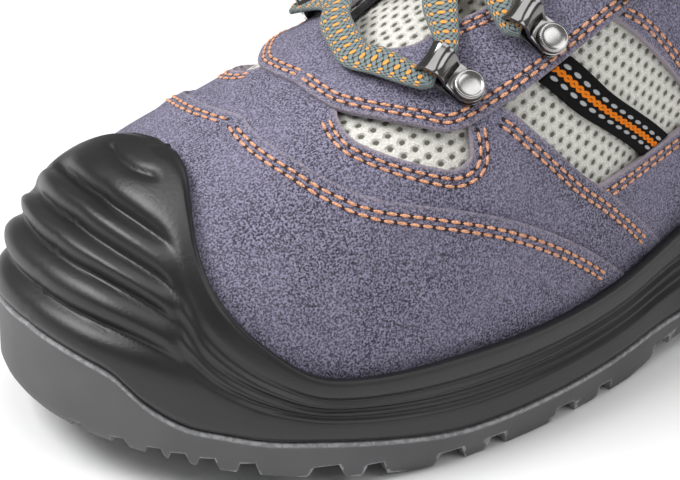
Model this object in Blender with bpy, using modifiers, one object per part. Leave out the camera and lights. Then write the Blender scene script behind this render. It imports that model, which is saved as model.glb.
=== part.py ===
"""Low safety shoe for the left foot.

Frame: +X runs from the heel to the toe, +Y to the outer side of the foot and +Z up.
The walking surface is z = 0, and the heel's back edge is x = 0 before the origin is
moved to the heel rest.

Places on the shoe are given by a station and a rise. A station is 0 at the middle of
the heel and 1 at the tip of the toe, along either side of the sole's outline. A rise
is 0 at the feather line, where the upper meets the sole, and 1 on the ridge.
"""
from math import acos, asin, cos, pi, radians, sin

import bmesh
import bpy
import numpy as np
from mathutils import Matrix, Vector

OUTER = 1
INNER = -1

# Driving dimensions, in metres
LENGTH = 0.302
BALL_WIDTH = 0.1105
HEEL_HEIGHT = 0.030
INSTEP_RISE = 0.083
FEATHER_INSET = 0.0075
TOE_INSET = 0.010
TOE_SPRING = 0.0122
HEEL_BEVEL = 0.003
ARCH_LIFT = 0.0045
TOE_WALL = 0.0345
CUFF_PINCH = 0.10

FIT = 0.0003
CHORD = 0.0004
SHELL_WALL = 0.0020
SUEDE = 0.0014
SUEDE_STOUT = 0.0019
BOWL_CLEARANCE = 0.0012
LIP = 0.0022
CUFF_PAD = 0.0036
RIBBON_THICK = 0.0009
TONGUE_THICK = 0.0050
TONGUE_CLEARANCE = 0.0009
INSOLE_THICK = 0.0040
INSOLE_CLEARANCE = 0.0011

OUTSOLE_FLOOR = 0.0078
RIM_WALL = 0.0023
RIM_SLOPE = 0.0006
SOLE_EDGE = 0.0012
BORDER_GAP = 0.0003
LUG_DEPTH = 0.0032
LUG_REACH = 0.0150
LUG_CHANNEL = 0.0034
WIDE_GAP = 0.0058
NARROW_GAP = 0.0040
BAR_GAP = 0.0046
BAR_PITCH = 0.0165
RIB_DEPTH = 0.0013
GROOVE_DEPTH = 0.0007

LOOP_WIDTH = 0.0080
LOOP_GAUGE = 0.0009
LOOP_REACH = 0.0098
LOOP_ROLL = 0.0029
LOOP_FOLD = 0.0017
RIVET_RADIUS = 0.0037
RIVET_HEIGHT = 0.0014
LACE_WIDTH = 0.0084
LACE_PINCHED = 0.0038
LACE_THICK = 0.0018

LAYER = SHELL_WALL + FIT + CHORD
STOUT_TOP = LAYER + SUEDE_STOUT
BOWL = STOUT_TOP + BOWL_CLEARANCE

# Shares along the outline at which a side is sampled
SIDE_STEPS = 26
# Gap between panels that lie side by side, and at the heel seam, in stations and rise
SEAM_GAP = 0.0012
EDGE_GAP = 0.0022
RISE_GAP = 0.008
HEEL_SEAM = 0.001
# How far a punch that cuts a window reaches past the panel, both ways together
PUNCH = 0.003


def table(columns, *rows):
    """Name the columns of a short table of shares."""
    names = columns.split()
    return {name: [row[i] for row in rows] for i, name in enumerate(names)}


def read(rows, name, place):
    """Read a column at a place in the table's first column, along a smooth curve."""
    key = next(iter(rows))
    xs, ys = rows[key], rows[name]
    if place <= xs[0]:
        return ys[0]
    if place >= xs[-1]:
        return ys[-1]
    i = max(k for k in range(len(xs) - 1) if xs[k] <= place)

    def slope(k):
        low, high = max(k - 1, 0), min(k + 1, len(xs) - 1)
        return (ys[high] - ys[low]) / (xs[high] - xs[low])

    width = xs[i + 1] - xs[i]
    t = (place - xs[i]) / width
    return ((2 * t**3 - 3 * t**2 + 1) * ys[i] + (t**3 - 2 * t**2 + t) * slope(i) * width
            + (3 * t**2 - 2 * t**3) * ys[i + 1] + (t**3 - t**2) * slope(i + 1) * width)


# Half widths of the sole from its middle line, as shares of the ball width
OUTLINE = table(
    "along outer inner",
    (0.00, 0.344, 0.344),
    (0.12, 0.371, 0.371),
    (0.30, 0.362, 0.326),
    (0.45, 0.371, 0.308),
    (0.56, 0.452, 0.350),
    (0.66, 0.502, 0.433),
    (0.76, 0.511, 0.482),
    (0.86, 0.511, 0.489),
    (1.00, 0.511, 0.489),
)
# The sole's middle line and the upper's ridge, across, as shares of the ball width
SWAY = table(
    "along sole ridge",
    (0.00, 0.000, 0.000),
    (0.40, 0.000, 0.000),
    (0.55, 0.000, 0.036),
    (0.70, 0.000, 0.045),
    (0.78, 0.000, 0.032),
    (0.88, -0.012, -0.009),
    (1.00, -0.032, -0.036),
)
# Height of the feather line as a share of the heel height, of the ridge above it as a
# share of the instep rise, and how square the section between them is
LAST = table(
    "along board ridge square",
    (0.00, 1.000, 2.11, 2.20),
    (0.10, 0.970, 2.06, 2.20),
    (0.20, 0.940, 1.92, 2.20),
    (0.30, 0.900, 1.67, 2.19),
    (0.40, 0.815, 1.43, 2.17),
    (0.50, 0.720, 1.21, 2.15),
    (0.60, 0.650, 1.00, 2.18),
    (0.70, 0.617, 0.82, 2.24),
    (0.80, 0.667, 0.625, 2.35),
    (0.88, 0.750, 0.490, 2.55),
    (0.94, 0.850, 0.400, 2.63),
    (1.00, 0.950, 0.290, 2.70),
)
# Walking surface: shares of the heel bevel, the arch lift and the toe spring
GROUND = table(
    "along heel arch toe",
    (0.00, 1.0, 0.0, 0.00),
    (0.06, 0.1, 0.0, 0.00),
    (0.10, 0.0, 0.0, 0.00),
    (0.34, 0.0, 0.0, 0.00),
    (0.38, 0.0, 1.0, 0.00),
    (0.47, 0.0, 0.7, 0.00),
    (0.54, 0.0, 0.0, 0.00),
    (0.73, 0.0, 0.0, 0.00),
    (0.80, 0.0, 0.0, 0.14),
    (0.88, 0.0, 0.0, 0.40),
    (0.95, 0.0, 0.0, 0.72),
    (1.00, 0.0, 0.0, 1.00),
)
# Top edge of the outsole's wall, as a share of the toe wall's height
BORDER = table(
    "station height",
    (0.00, 0.32),
    (0.20, 0.30),
    (0.50, 0.304),
    (0.55, 0.260),
    (0.60, 0.246),
    (0.65, 0.246),
    (0.70, 0.319),
    (0.74, 0.377),
    (0.78, 0.420),
    (0.81, 0.478),
    (0.84, 0.536),
    (0.87, 0.667),
    (0.90, 0.855),
    (0.93, 0.928),
    (0.96, 0.971),
    (1.00, 1.000),
)
# Top edge of the midsole and its toe bumper, as a rise
LIP_LINE = table(
    "station rise",
    (0.000, 0.056),
    (0.300, 0.056),
    (0.478, 0.060),
    (0.550, 0.052),
    (0.650, 0.066),
    (0.730, 0.064),
    (0.750, 0.078),
    (0.770, 0.125),
    (0.795, 0.213),
    (0.818, 0.338),
    (0.835, 0.500),
    (0.845, 0.640),
    (0.858, 0.770),
    (0.880, 0.850),
    (0.920, 0.910),
    (1.000, 0.945),
)
# The collar's top edge up to the eyestay's top, and the lower edge of its padded cuff
TOPLINE = table(
    "station rise cuff",
    (0.000, 0.235, 0.176),
    (0.100, 0.233, 0.174),
    (0.200, 0.220, 0.163),
    (0.300, 0.222, 0.165),
    (0.360, 0.268, 0.204),
    (0.400, 0.350, 0.275),
    (0.430, 0.460, 0.375),
    (0.447, 0.585, 0.450),
)
# The eyestay, from the front of the throat to its top: its edge on the throat and its
# outer edge, each as a station and a rise
EYESTAY = table(
    "throat_station throat_rise edge_station edge_rise",
    (0.652, 1.000, 0.678, 1.000),
    (0.650, 0.940, 0.678, 0.930),
    (0.641, 0.885, 0.675, 0.840),
    (0.628, 0.850, 0.661, 0.730),
    (0.613, 0.842, 0.645, 0.638),
    (0.600, 0.822, 0.628, 0.563),
    (0.583, 0.785, 0.598, 0.540),
    (0.556, 0.740, 0.563, 0.537),
    (0.525, 0.695, 0.528, 0.530),
    (0.495, 0.650, 0.497, 0.505),
    (0.468, 0.610, 0.468, 0.470),
    (0.447, 0.585, 0.444, 0.440),
)
# The saddle across the ball: its rear edge and the seam with the toe panel
VAMP = table(
    "rise rear seam",
    (0.030, 0.488, 0.520),
    (0.088, 0.505, 0.540),
    (0.188, 0.533, 0.572),
    (0.288, 0.558, 0.606),
    (0.413, 0.580, 0.649),
    (0.500, 0.592, 0.677),
    (0.530, 0.597, 0.685),
    (0.548, 0.614, 0.689),
    (0.572, 0.633, 0.695),
    (0.638, 0.649, 0.708),
    (0.730, 0.665, 0.723),
    (0.840, 0.679, 0.740),
    (0.930, 0.682, 0.751),
    (1.000, 0.682, 0.757),
)
# Cut-outs over the mesh: near and far edge of each fold, as station and rise
VAMP_WINDOW = (
    ((0.674, 0.862), (0.679, 0.835)),
    ((0.662, 0.770), (0.680, 0.765)),
    ((0.652, 0.710), (0.677, 0.675)),
    ((0.640, 0.650), (0.664, 0.588)),
    ((0.629, 0.600), (0.646, 0.500)),
    ((0.622, 0.575), (0.633, 0.474)),
    ((0.6205, 0.560), (0.6245, 0.478)),
)
QUARTER_WINDOW = (
    ((0.462, 0.192), (0.538, 0.600)),
    ((0.569, 0.244), (0.646, 0.620)),
)
RIBBON = (
    ((0.489, 0.212), (0.549, 0.518)),
    ((0.511, 0.224), (0.571, 0.520)),
)
# The counter round the heel: its top edge
COUNTER = table(
    "station rise",
    (0.000, 0.150),
    (0.080, 0.147),
    (0.140, 0.125),
    (0.180, 0.085),
    (0.205, 0.040),
)
# The tongue, from its top to its root: the end of each fold at its edge and on the ridge,
# and how much it keeps of the last's arch over TONGUE_SPRING
TONGUE_SPRING = 0.68
TONGUE = table(
    "edge_station edge_rise ridge_station arch",
    (0.421, 0.640, 0.452, 0.52),
    (0.423, 0.590, 0.457, 0.53),
    (0.430, 0.560, 0.463, 0.56),
    (0.442, 0.545, 0.472, 0.62),
    (0.470, 0.555, 0.490, 0.76),
    (0.520, 0.600, 0.525, 0.95),
    (0.580, 0.690, 0.580, 1.00),
    (0.630, 0.790, 0.630, 1.00),
    (0.660, 0.860, 0.660, 1.00),
    (0.690, 0.900, 0.690, 1.00),
)
# Rivets of the lace loops, and how far the rise grows towards the roll of the loop
RIVETS = table(
    "station rise",
    (0.613, 0.650),
    (0.558, 0.600),
    (0.508, 0.560),
    (0.466, 0.520),
)
# Steps up the outside of the midsole: share of the way from border to lip, and how far
# it stands proud on the bumper and along the side, as shares of the rib and groove depth
MOULDING = table(
    "up bumper side",
    (0.00, 0.0, -0.4),
    (0.05, 0.9, 0.6),
    (0.11, -0.9, 1.0),
    (0.16, 1.0, 1.1),
    (0.22, -0.9, 1.1),
    (0.27, 1.0, 1.0),
    (0.33, -0.8, 0.6),
    (0.39, 0.9, -0.6),
    (0.45, -0.7, 0.6),
    (0.51, 0.8, -0.6),
    (0.58, -0.4, 0.6),
    (0.66, 0.4, -0.6),
    (0.76, 0.1, 0.3),
    (0.88, 0.3, 0.4),
    (1.00, 0.0, 0.0),
)


# Stations at which a side is sampled, by their share of the count
CROWDING = table(
    "share station",
    (0.00, 0.00),
    (0.30, 0.36),
    (0.58, 0.74),
    (0.85, 0.88),
    (1.00, 1.00),
)


def blend(low, high, x):
    """Rise smoothly from 0 at low to 1 at high."""
    t = min(max((x - low) / (high - low), 0.0), 1.0)
    return t * t * (3 - 2 * t)


def along(station):
    return (1 - cos(pi * station)) / 2


def station_at(share):
    return acos(1 - 2 * share) / pi


# The sole's outline

OUTER_TOE = (0.29, 2.1)
INNER_TOE = (0.20, 2.2)
HEEL_ROUND = (0.13, 2.2)


def rounded(reach, power):
    """Width left at a place inside a rounded end, where reach is 0 at its tip."""
    return max(0.0, 1 - (1 - reach) ** power) ** (1 / power)


def outline_point(side, station):
    share = along(station)
    width = read(OUTLINE, "outer" if side == OUTER else "inner", share)
    toe_reach, toe_power = OUTER_TOE if side == OUTER else INNER_TOE
    if share > 1 - toe_reach:
        width *= rounded((1 - share) / toe_reach, toe_power)
    if share < HEEL_ROUND[0]:
        width *= rounded(share / HEEL_ROUND[0], HEEL_ROUND[1])
    return np.array([share * LENGTH, (read(SWAY, "sole", share) + side * width) * BALL_WIDTH])


def outline(side, station, inset=0.0):
    """A point of the sole's outline, moved inwards along its normal."""
    step = 1e-3
    point = outline_point(side, station)
    if station <= 0:
        return point + np.array([inset, 0.0])
    if station >= 1:
        return point - np.array([inset, 0.0])
    before = outline_point(side, max(station - step, 0.0))
    after = outline_point(side, min(station + step, 1.0))
    run = (after - before) / np.linalg.norm(after - before)
    outward = np.array([-run[1], run[0]]) * side
    return point - outward * inset


def ground(x):
    share = x / LENGTH
    return sum(rise * max(read(GROUND, name, share), 0.0) for name, rise in
               (("heel", HEEL_BEVEL), ("arch", ARCH_LIFT), ("toe", TOE_SPRING)))


def board(x):
    return HEEL_HEIGHT * read(LAST, "board", x / LENGTH)


def border(station):
    return TOE_WALL * read(BORDER, "height", station)


def feather_inset(station):
    return FEATHER_INSET + (TOE_INSET - FEATHER_INSET) * blend(0.80, 1.0, along(station))


# The upper's own form: a square-shouldered arch from the feather line to the ridge,
# whose sections fan out round the toe and the heel

TOE_FAN = (0.77, 0.865)
HEEL_FAN = (0.10, 0.16)
CUFF_REACH = 0.50


def ridge_share(station):
    share = (FEATHER_INSET + along(station) * (LENGTH - FEATHER_INSET - TOE_INSET)) / LENGTH
    if share > TOE_FAN[0]:
        reach = (share - TOE_FAN[0]) / (1 - TOE_FAN[0])
        return TOE_FAN[0] + (TOE_FAN[1] - TOE_FAN[0]) * reach**0.9
    if share < HEEL_FAN[1]:
        return HEEL_FAN[0] + (HEEL_FAN[1] - HEEL_FAN[0]) * share / HEEL_FAN[1]
    return share


def last_point(side, station, rise):
    foot = outline(side, station, feather_inset(station))
    low = board(foot[0])
    top = ridge_share(station) * LENGTH
    square = read(LAST, "square", foot[0] / LENGTH)
    angle = rise * pi / 2
    out = max(cos(angle), 0.0) ** (2 / square)
    up = sin(angle) ** (2 / square)
    pinch = CUFF_PINCH * blend(0.08, 0.45, up) * (1 - blend(0.30, CUFF_REACH, along(station)))
    spread = out * (1 - pinch)
    x = top + (foot[0] - top) * spread
    across = read(SWAY, "ridge", x / LENGTH) * BALL_WIDTH
    y = across + (foot[1] - across) * spread
    height = board(x) + INSTEP_RISE * read(LAST, "ridge", x / LENGTH)
    return np.array([x, y, low + (height - low) * up])


def skin_normal(side, station, rise):
    """Outward direction, read a little short of the poles of the fans and of the ridge."""
    step = 2e-3
    station = min(max(station, 2 * step), 1 - 10 * step)
    rise = min(rise, 1 - 5 * step)
    s0, s1 = station - step, station + step
    r0, r1 = max(rise - step, 0.0), rise + step
    run = last_point(side, s1, rise) - last_point(side, s0, rise)
    climb = last_point(side, station, r1) - last_point(side, station, r0)
    normal = np.cross(run, climb) * -side
    return normal / np.linalg.norm(normal)


def skin(side, station, rise, lift=0.0):
    """A point of the upper's form, raised off the last by lift."""
    if rise >= 1 or station <= 0 or station >= 1:
        both = [last_point(s, station, rise) + skin_normal(s, station, rise) * lift for s in (OUTER, INNER)]
        return (both[0] + both[1]) / 2
    return last_point(side, station, rise) + skin_normal(side, station, rise) * lift


# Building tools

parts = bpy.data.collections.new("safety_sneaker")
cutters = bpy.data.collections.new("cutters")


def surface_material(name, colour, roughness, metallic=0.0):
    material = bpy.data.materials.new(name)
    material.use_nodes = True
    shader = material.node_tree.nodes["Principled BSDF"]
    shader.inputs["Base Color"].default_value = (*colour, 1.0)
    shader.inputs["Roughness"].default_value = roughness
    shader.inputs["Metallic"].default_value = metallic
    material.diffuse_color = (*colour, 1.0)
    return material


def new_object(name, mesh, material=None):
    """Put a mesh in the parts, or among the cutters where it has no material."""
    thing = bpy.data.objects.new(name, mesh)
    if material is None:
        cutters.objects.link(thing)
        thing.hide_render = True
        thing.display_type = "WIRE"
    else:
        parts.objects.link(thing)
        mesh.materials.append(material)
    return thing


def resample(points, count):
    """Spread count + 1 points evenly along a smooth curve through points."""
    knots = list(range(len(points)))
    rows = {"knot": knots}
    for axis in range(len(points[0])):
        rows[axis] = [point[axis] for point in points]
    places = [i * (len(points) - 1) / count for i in range(count + 1)]
    return [tuple(read(rows, axis, place) for axis in range(len(points[0]))) for place in places]


def fill_grid(rows, across, every):
    """Turn table rows of (station, rise) pairs into a finer grid of them."""
    fine = [resample(row, across) for row in rows]
    columns = [resample([row[i] for row in fine], (len(rows) - 1) * every) for i in range(across + 1)]
    return [list(row) for row in zip(*columns)]


def add_sheet(mesh, side, grid, lift, form=skin):
    """Lay a grid of (station, rise) pairs on the upper's form or another."""
    wide, long = len(grid[0]), len(grid)
    made = bmesh.ops.create_grid(mesh, x_segments=wide - 1, y_segments=long - 1, size=1.0)
    for vertex in made["verts"]:
        column = round((vertex.co.x + 1) / 2 * (wide - 1))
        row = round((vertex.co.y + 1) / 2 * (long - 1))
        station, rise = grid[row][column]
        vertex.co = Vector(form(side, station, min(rise, 1.0), lift))


def close_sheet(name, mesh, thickness, material, inwards=False):
    """Join the sheets of a bmesh, turn them outwards and give them a wall."""
    bmesh.ops.remove_doubles(mesh, verts=mesh.verts, dist=2e-5)
    bmesh.ops.dissolve_degenerate(mesh, edges=mesh.edges, dist=2e-5)
    bmesh.ops.recalc_face_normals(mesh, faces=mesh.faces)
    heart = Vector((LENGTH * 0.5, 0.0, HEEL_HEIGHT))
    facing = sum(face.normal.dot(face.calc_center_median() - heart) * face.calc_area() for face in mesh.faces)
    if facing < 0:
        bmesh.ops.reverse_faces(mesh, faces=mesh.faces)
    data = bpy.data.meshes.new(name)
    mesh.to_mesh(data)
    mesh.free()
    data.shade_smooth()
    thing = new_object(name, data, material)
    wall = thing.modifiers.new("wall", "SOLIDIFY")
    wall.thickness = thickness
    wall.offset = -1.0 if inwards else 1.0
    wall.use_even_offset = True
    wall.use_quality_normals = True
    return thing


def panel(name, sides, rows, across, every, lift, thickness, material, inwards=False):
    """A piece of even thickness on one side of the upper or on both."""
    grid = fill_grid(rows, across, every)
    mesh = bmesh.new()
    for side in sides:
        add_sheet(mesh, side, grid, lift)
    return close_sheet(name, mesh, thickness, material, inwards)


def cut(thing, cutter, operation="DIFFERENCE"):
    step = thing.modifiers.new(cutter.name, "BOOLEAN")
    step.operation = operation
    step.solver = "EXACT"
    step.object = cutter
    return step


def both_sides(steps=SIDE_STEPS):
    """Stations once round the outline, from the heel along the outer side and back.

    They crowd towards the toe, where the bumper climbs and the outline turns most.
    """
    places = [read(CROWDING, "station", i / steps) for i in range(steps + 1)]
    return [(OUTER, p) for p in places] + [(INNER, p) for p in reversed(places[1:-1])]


def loft(name, rings, material=None):
    """Skin a stack of rings that each run once round the outline, and close its ends.

    Its folds follow the shorter way across, so that two lofts that face each other match.
    An end is closed by bars across the shoe, from each outer station to its inner one.
    """
    mesh = bmesh.new()
    size = len(rings[0])
    half = size // 2
    stack = [[mesh.verts.new(point) for point in ring] for ring in rings]
    for low, high in zip(stack, stack[1:]):
        for i in range(size):
            j = (i + 1) % size
            if (low[i].co - high[j].co).length < (low[j].co - high[i].co).length:
                mesh.faces.new((low[i], low[j], high[j]))
                mesh.faces.new((low[i], high[j], high[i]))
            else:
                mesh.faces.new((low[i], low[j], high[i]))
                mesh.faces.new((low[j], high[j], high[i]))
    for ring in (stack[0], stack[-1]):
        for i in range(half):
            corners = [ring[i], ring[i + 1], ring[(size - i - 1) % size], ring[(size - i) % size]]
            unique = list(dict.fromkeys(corners))
            mesh.faces.new(unique)
    bmesh.ops.recalc_face_normals(mesh, faces=mesh.faces)
    data = bpy.data.meshes.new(name)
    mesh.to_mesh(data)
    mesh.free()
    data.shade_smooth()
    data.set_sharp_from_angle(angle=radians(35))
    return new_object(name, data, material)


def flat_ring(inset, height):
    """A ring at an inset from the outline, at a height worked out from station and x."""
    ring = []
    for side, station in both_sides():
        x, y = outline(side, station, inset(station) if callable(inset) else inset)
        ring.append((x, y, height(station, x)))
    return ring


# The outsole

def toe_share(station):
    return blend(0.76, 0.92, station)


def seat(station, x):
    """Top of the outsole inside its rim."""
    return min(ground(x) + OUTSOLE_FLOOR, border(station))


def make_outsole(material):
    rings = [
        flat_ring(lambda s: SOLE_EDGE + 0.0022 * toe_share(s), lambda s, x: ground(x)),
        flat_ring(lambda s: SOLE_EDGE * 0.3, lambda s, x: ground(x) + 0.0034),
        flat_ring(0.0, lambda s, x: ground(x) + 0.0055),
        flat_ring(0.0, lambda s, x: border(s)),
        flat_ring(RIM_WALL, lambda s, x: border(s)),
        flat_ring(RIM_WALL + RIM_SLOPE, seat),
    ]
    outsole = loft("outsole", rings, material)
    cut(outsole, make_channel())
    cut(outsole, make_grooves()).use_self = True
    return outsole


def make_channel():
    """The channel between the edge lugs and the middle bars."""
    reach = LUG_REACH + LUG_CHANNEL
    mesh = bmesh.new()
    rings = []
    for inset, top in ((LUG_REACH, False), (LUG_REACH, True), (reach, True), (reach, False)):
        ring = []
        for side, station in both_sides(SIDE_STEPS // 2):
            x, y = outline(side, station, inset)
            ring.append(mesh.verts.new((x, y, ground(x) + LUG_DEPTH if top else -LUG_DEPTH)))
        rings.append(ring)
    size = len(rings[0])
    for low, high in zip(rings, rings[1:] + rings[:1]):
        for i in range(size):
            j = (i + 1) % size
            mesh.faces.new((low[i], low[j], high[j], high[i]))
    bmesh.ops.recalc_face_normals(mesh, faces=mesh.faces)
    data = bpy.data.meshes.new("lug_channel")
    mesh.to_mesh(data)
    mesh.free()
    return new_object("lug_channel", data)


PAIR_FIRST = 0.7425
PAIR_PITCH = 0.082
PAIR_SPACE = 0.032
TOE_NOTCHES = (0.943, 0.898, 0.866, 0.846, 0.824, 0.795)
HEEL_NOTCHES = (0.05,)
ARCH = (0.34, 0.53)


def groove_stations():
    """Stations and widths of the gaps between the edge lugs."""
    gaps = []
    pairs = int((PAIR_FIRST - 0.12) / PAIR_PITCH) + 1
    for k in range(pairs):
        first = PAIR_FIRST - k * PAIR_PITCH
        gaps.append((first, WIDE_GAP))
        gaps.append((first - PAIR_SPACE, NARROW_GAP))
    gaps += [(notch, NARROW_GAP * 0.6) for notch in TOE_NOTCHES]
    gaps += [(notch, NARROW_GAP) for notch in HEEL_NOTCHES]
    return [gap for gap in gaps if not ARCH[0] < along(gap[0]) < ARCH[1]]


def add_block(mesh, centre, size, turn):
    made = bmesh.ops.create_cube(mesh, size=1.0)
    place = Matrix.Translation(centre) @ Matrix.Rotation(turn, 4, "Z") @ Matrix.Diagonal((*size, 1.0))
    bmesh.ops.transform(mesh, matrix=place, verts=made["verts"])


def make_grooves():
    """The gaps between the lugs at the edge, and between the bars in the middle."""
    mesh = bmesh.new()
    for side in (OUTER, INNER):
        for station, width in groove_stations():
            depth = LUG_DEPTH if station < 0.79 else LUG_DEPTH * 0.6
            reach = LUG_REACH + LUG_CHANNEL * 0.5 if station < 0.79 else LUG_REACH * 0.5
            outer = outline(side, station, -0.003)
            inner = outline(side, station, reach)
            middle = (outer + inner) / 2
            run = outer - inner
            low = -0.004
            high = ground(outline(side, station, 0.004)[0]) + depth
            add_block(mesh, (*middle, (low + high) / 2), (np.linalg.norm(run), width, high - low),
                      np.arctan2(run[1], run[0]))
    margin = LUG_REACH + LUG_CHANNEL * 0.5
    bars = int(LENGTH / BAR_PITCH)
    for k in range(2, bars - 1):
        x = k * BAR_PITCH
        if ARCH[0] < x / LENGTH < ARCH[1]:
            continue
        station = station_at(x / LENGTH)
        left = outline(OUTER, station, margin)
        right = outline(INNER, station, margin)
        high = ground(x) + LUG_DEPTH
        add_block(mesh, (x, (left[1] + right[1]) / 2, (high - 0.004) / 2),
                  (BAR_GAP, left[1] - right[1], high + 0.004), 0.0)
    data = bpy.data.meshes.new("lug_grooves")
    mesh.to_mesh(data)
    mesh.free()
    return new_object("lug_grooves", data)


# The midsole with its toe bumper

def wall_path(side, station, lip_rise):
    """The way up the outside of the midsole, from the outsole's border to the lip."""
    start = border(station) + BORDER_GAP
    edge = outline(side, station)
    inset = feather_inset(station)
    path = [np.array([*edge, start])]
    low = board(outline(side, station, inset)[0])
    for k in range(1, 4):
        height = start + (low - start) * k / 4
        if height > start:
            path.append(np.array([*edge, height]))
    steps = 24
    for k in range(steps + 1):
        share = k / steps
        lift = inset + (BOWL + LIP - inset) * blend(0.0, 1.0, share)
        point = skin(side, station, lip_rise * share, lift)
        if point[2] > path[-1][2] + 1e-4 or share > 0.5:
            path.append(point)
    return path


def point_along(path, share):
    """A point of a path by its share of the path's length."""
    lengths = [np.linalg.norm(b - a) for a, b in zip(path, path[1:])]
    left = share * sum(lengths)
    for a, b, length in zip(path, path[1:], lengths):
        if left <= length:
            return a + (b - a) * (left / length)
        left -= length
    return path[-1]


def lip_rise(station):
    return read(LIP_LINE, "rise", station)


BOWL_STEPS = 9


def make_midsole(material):
    stations = both_sides()
    paths = [wall_path(side, station, lip_rise(station)) for side, station in stations]
    seam = lambda s, x: seat(s, x) + BORDER_GAP
    rings = [
        flat_ring(RIM_WALL + RIM_SLOPE + BORDER_GAP, seam),
        flat_ring(RIM_WALL + BORDER_GAP, lambda s, x: border(s) + BORDER_GAP),
    ]
    for up, bumper, side_step in zip(MOULDING["up"], MOULDING["bumper"], MOULDING["side"]):
        ring = []
        for (side, station), path in zip(stations, paths):
            point = point_along(path, up)
            normal = skin_normal(side, station, lip_rise(station) * up)
            toe = toe_share(station)
            proud = RIB_DEPTH * bumper * toe + GROOVE_DEPTH * side_step * (1 - toe)
            ring.append(tuple(point + normal * proud))
        rings.append(ring)
    rings.append([tuple(skin(a, s, lip_rise(s) * 1.01, BOWL + LIP * 0.45)) for a, s in stations])
    for k in range(BOWL_STEPS, -1, -1):
        rings.append([tuple(skin(a, s, lip_rise(s) * k / BOWL_STEPS, BOWL)) for a, s in stations])
    floor = []
    for a, s in stations:
        x, y, z = skin(a, s, 0.0, BOWL)
        floor.append((x, y, board(x) - FIT))
    rings.append(floor)
    return loft("midsole", rings, material)


def make_insole(material):
    def sole_ring(extra, height):
        ring = []
        for side, station in both_sides():
            x, y = outline(side, station, feather_inset(station) + INSOLE_CLEARANCE + extra)
            ring.append((x, y, board(x) + height))
        return ring

    return loft("insole", [
        sole_ring(0.0, 0.0),
        sole_ring(0.0002, INSOLE_THICK * 0.7),
        sole_ring(0.0016, INSOLE_THICK),
    ], material)


# The upper and what is sewn on it

def throat_stations():
    return EYESTAY["throat_station"][::-1], EYESTAY["throat_rise"][::-1]


def top_rise(station):
    """Rise of the upper's top edge: the collar, then the throat, then closed."""
    stations, rises = throat_stations()
    if station <= TOPLINE["station"][-1]:
        return read(TOPLINE, "rise", station)
    if station >= stations[-1]:
        return 1.0
    return read({"station": stations, "rise": rises}, "rise", station)


def make_upper(material):
    heel = [0.0, *HEEL_STATIONS, 0.20, 0.25, 0.30, 0.335, 0.36, 0.38, 0.40, 0.415, 0.43]
    throat = throat_stations()[0]
    toe = [0.67, 0.695, 0.72, 0.745, 0.77, 0.80, 0.83, 0.86, 0.89, 0.92, 0.96, 1.0]
    grid = []
    for station in heel + throat + toe:
        top = top_rise(station)
        grid.append([(station, top * k / UPPER_STEPS) for k in range(UPPER_STEPS + 1)])
    mesh = bmesh.new()
    for side in (OUTER, INNER):
        add_sheet(mesh, side, grid, 0.0)
    return close_sheet("upper", mesh, SHELL_WALL, material)


def make_toe_panel(material):
    """From the seam on the saddle to the tip of the toe, down to the feather line."""
    low = VAMP["rise"][0]
    rows = []
    for rise, seam in zip(VAMP["rise"], VAMP["seam"]):
        edge = seam + SEAM_GAP
        rows.append(((edge, low * 0.98), (edge, max(rise, low) + 1e-4)))
    last = VAMP["seam"][-1] + SEAM_GAP
    rows += [((station, low), (station, 1.0)) for station in
             (last + (1 - last) * k / TOE_ROWS for k in range(1, TOE_ROWS + 1))]
    return panel("toe_panel", (OUTER, INNER), rows, 7, 1, LAYER, SUEDE_STOUT, material)


def eyestay_edge(rise):
    """Station of the eyestay's outer edge at a rise, or none below its corner."""
    rows = list(zip(EYESTAY["edge_rise"], EYESTAY["edge_station"]))
    for (high, front), (low, rear) in zip(rows, rows[1:]):
        if low <= rise <= high:
            return rear + (front - rear) * (rise - low) / (high - low)
        if front < VAMP["rear"][7]:
            break
    return 0.0


def make_vamp_panel(material):
    rows = []
    for rise, rear, seam in zip(VAMP["rise"], VAMP["rear"], VAMP["seam"]):
        rows.append(((max(rear, eyestay_edge(rise) + EDGE_GAP), rise), (seam, rise)))
    vamp = panel("vamp_panel", (OUTER, INNER), rows, 5, 1, LAYER, SUEDE, material)
    for side, name in ((OUTER, "outer"), (INNER, "inner")):
        window = panel("vamp_window_" + name, (side,), VAMP_WINDOW, 2, 2, LAYER - PUNCH / 2, PUNCH + SUEDE, None)
        cut(vamp, window)
    return vamp


def cuff_line(station):
    """Rise of the lower edge of the padded cuff."""
    return read(TOPLINE, "cuff", station)


HEEL_STATIONS = (0.04, 0.08, 0.12, 0.16)
QUARTER_FEET = (0.437, 0.447, 0.457, 0.468, 0.479)
QUARTER_BOW = 0.010
TOE_ROWS = 8
UPPER_STEPS = 6


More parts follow.
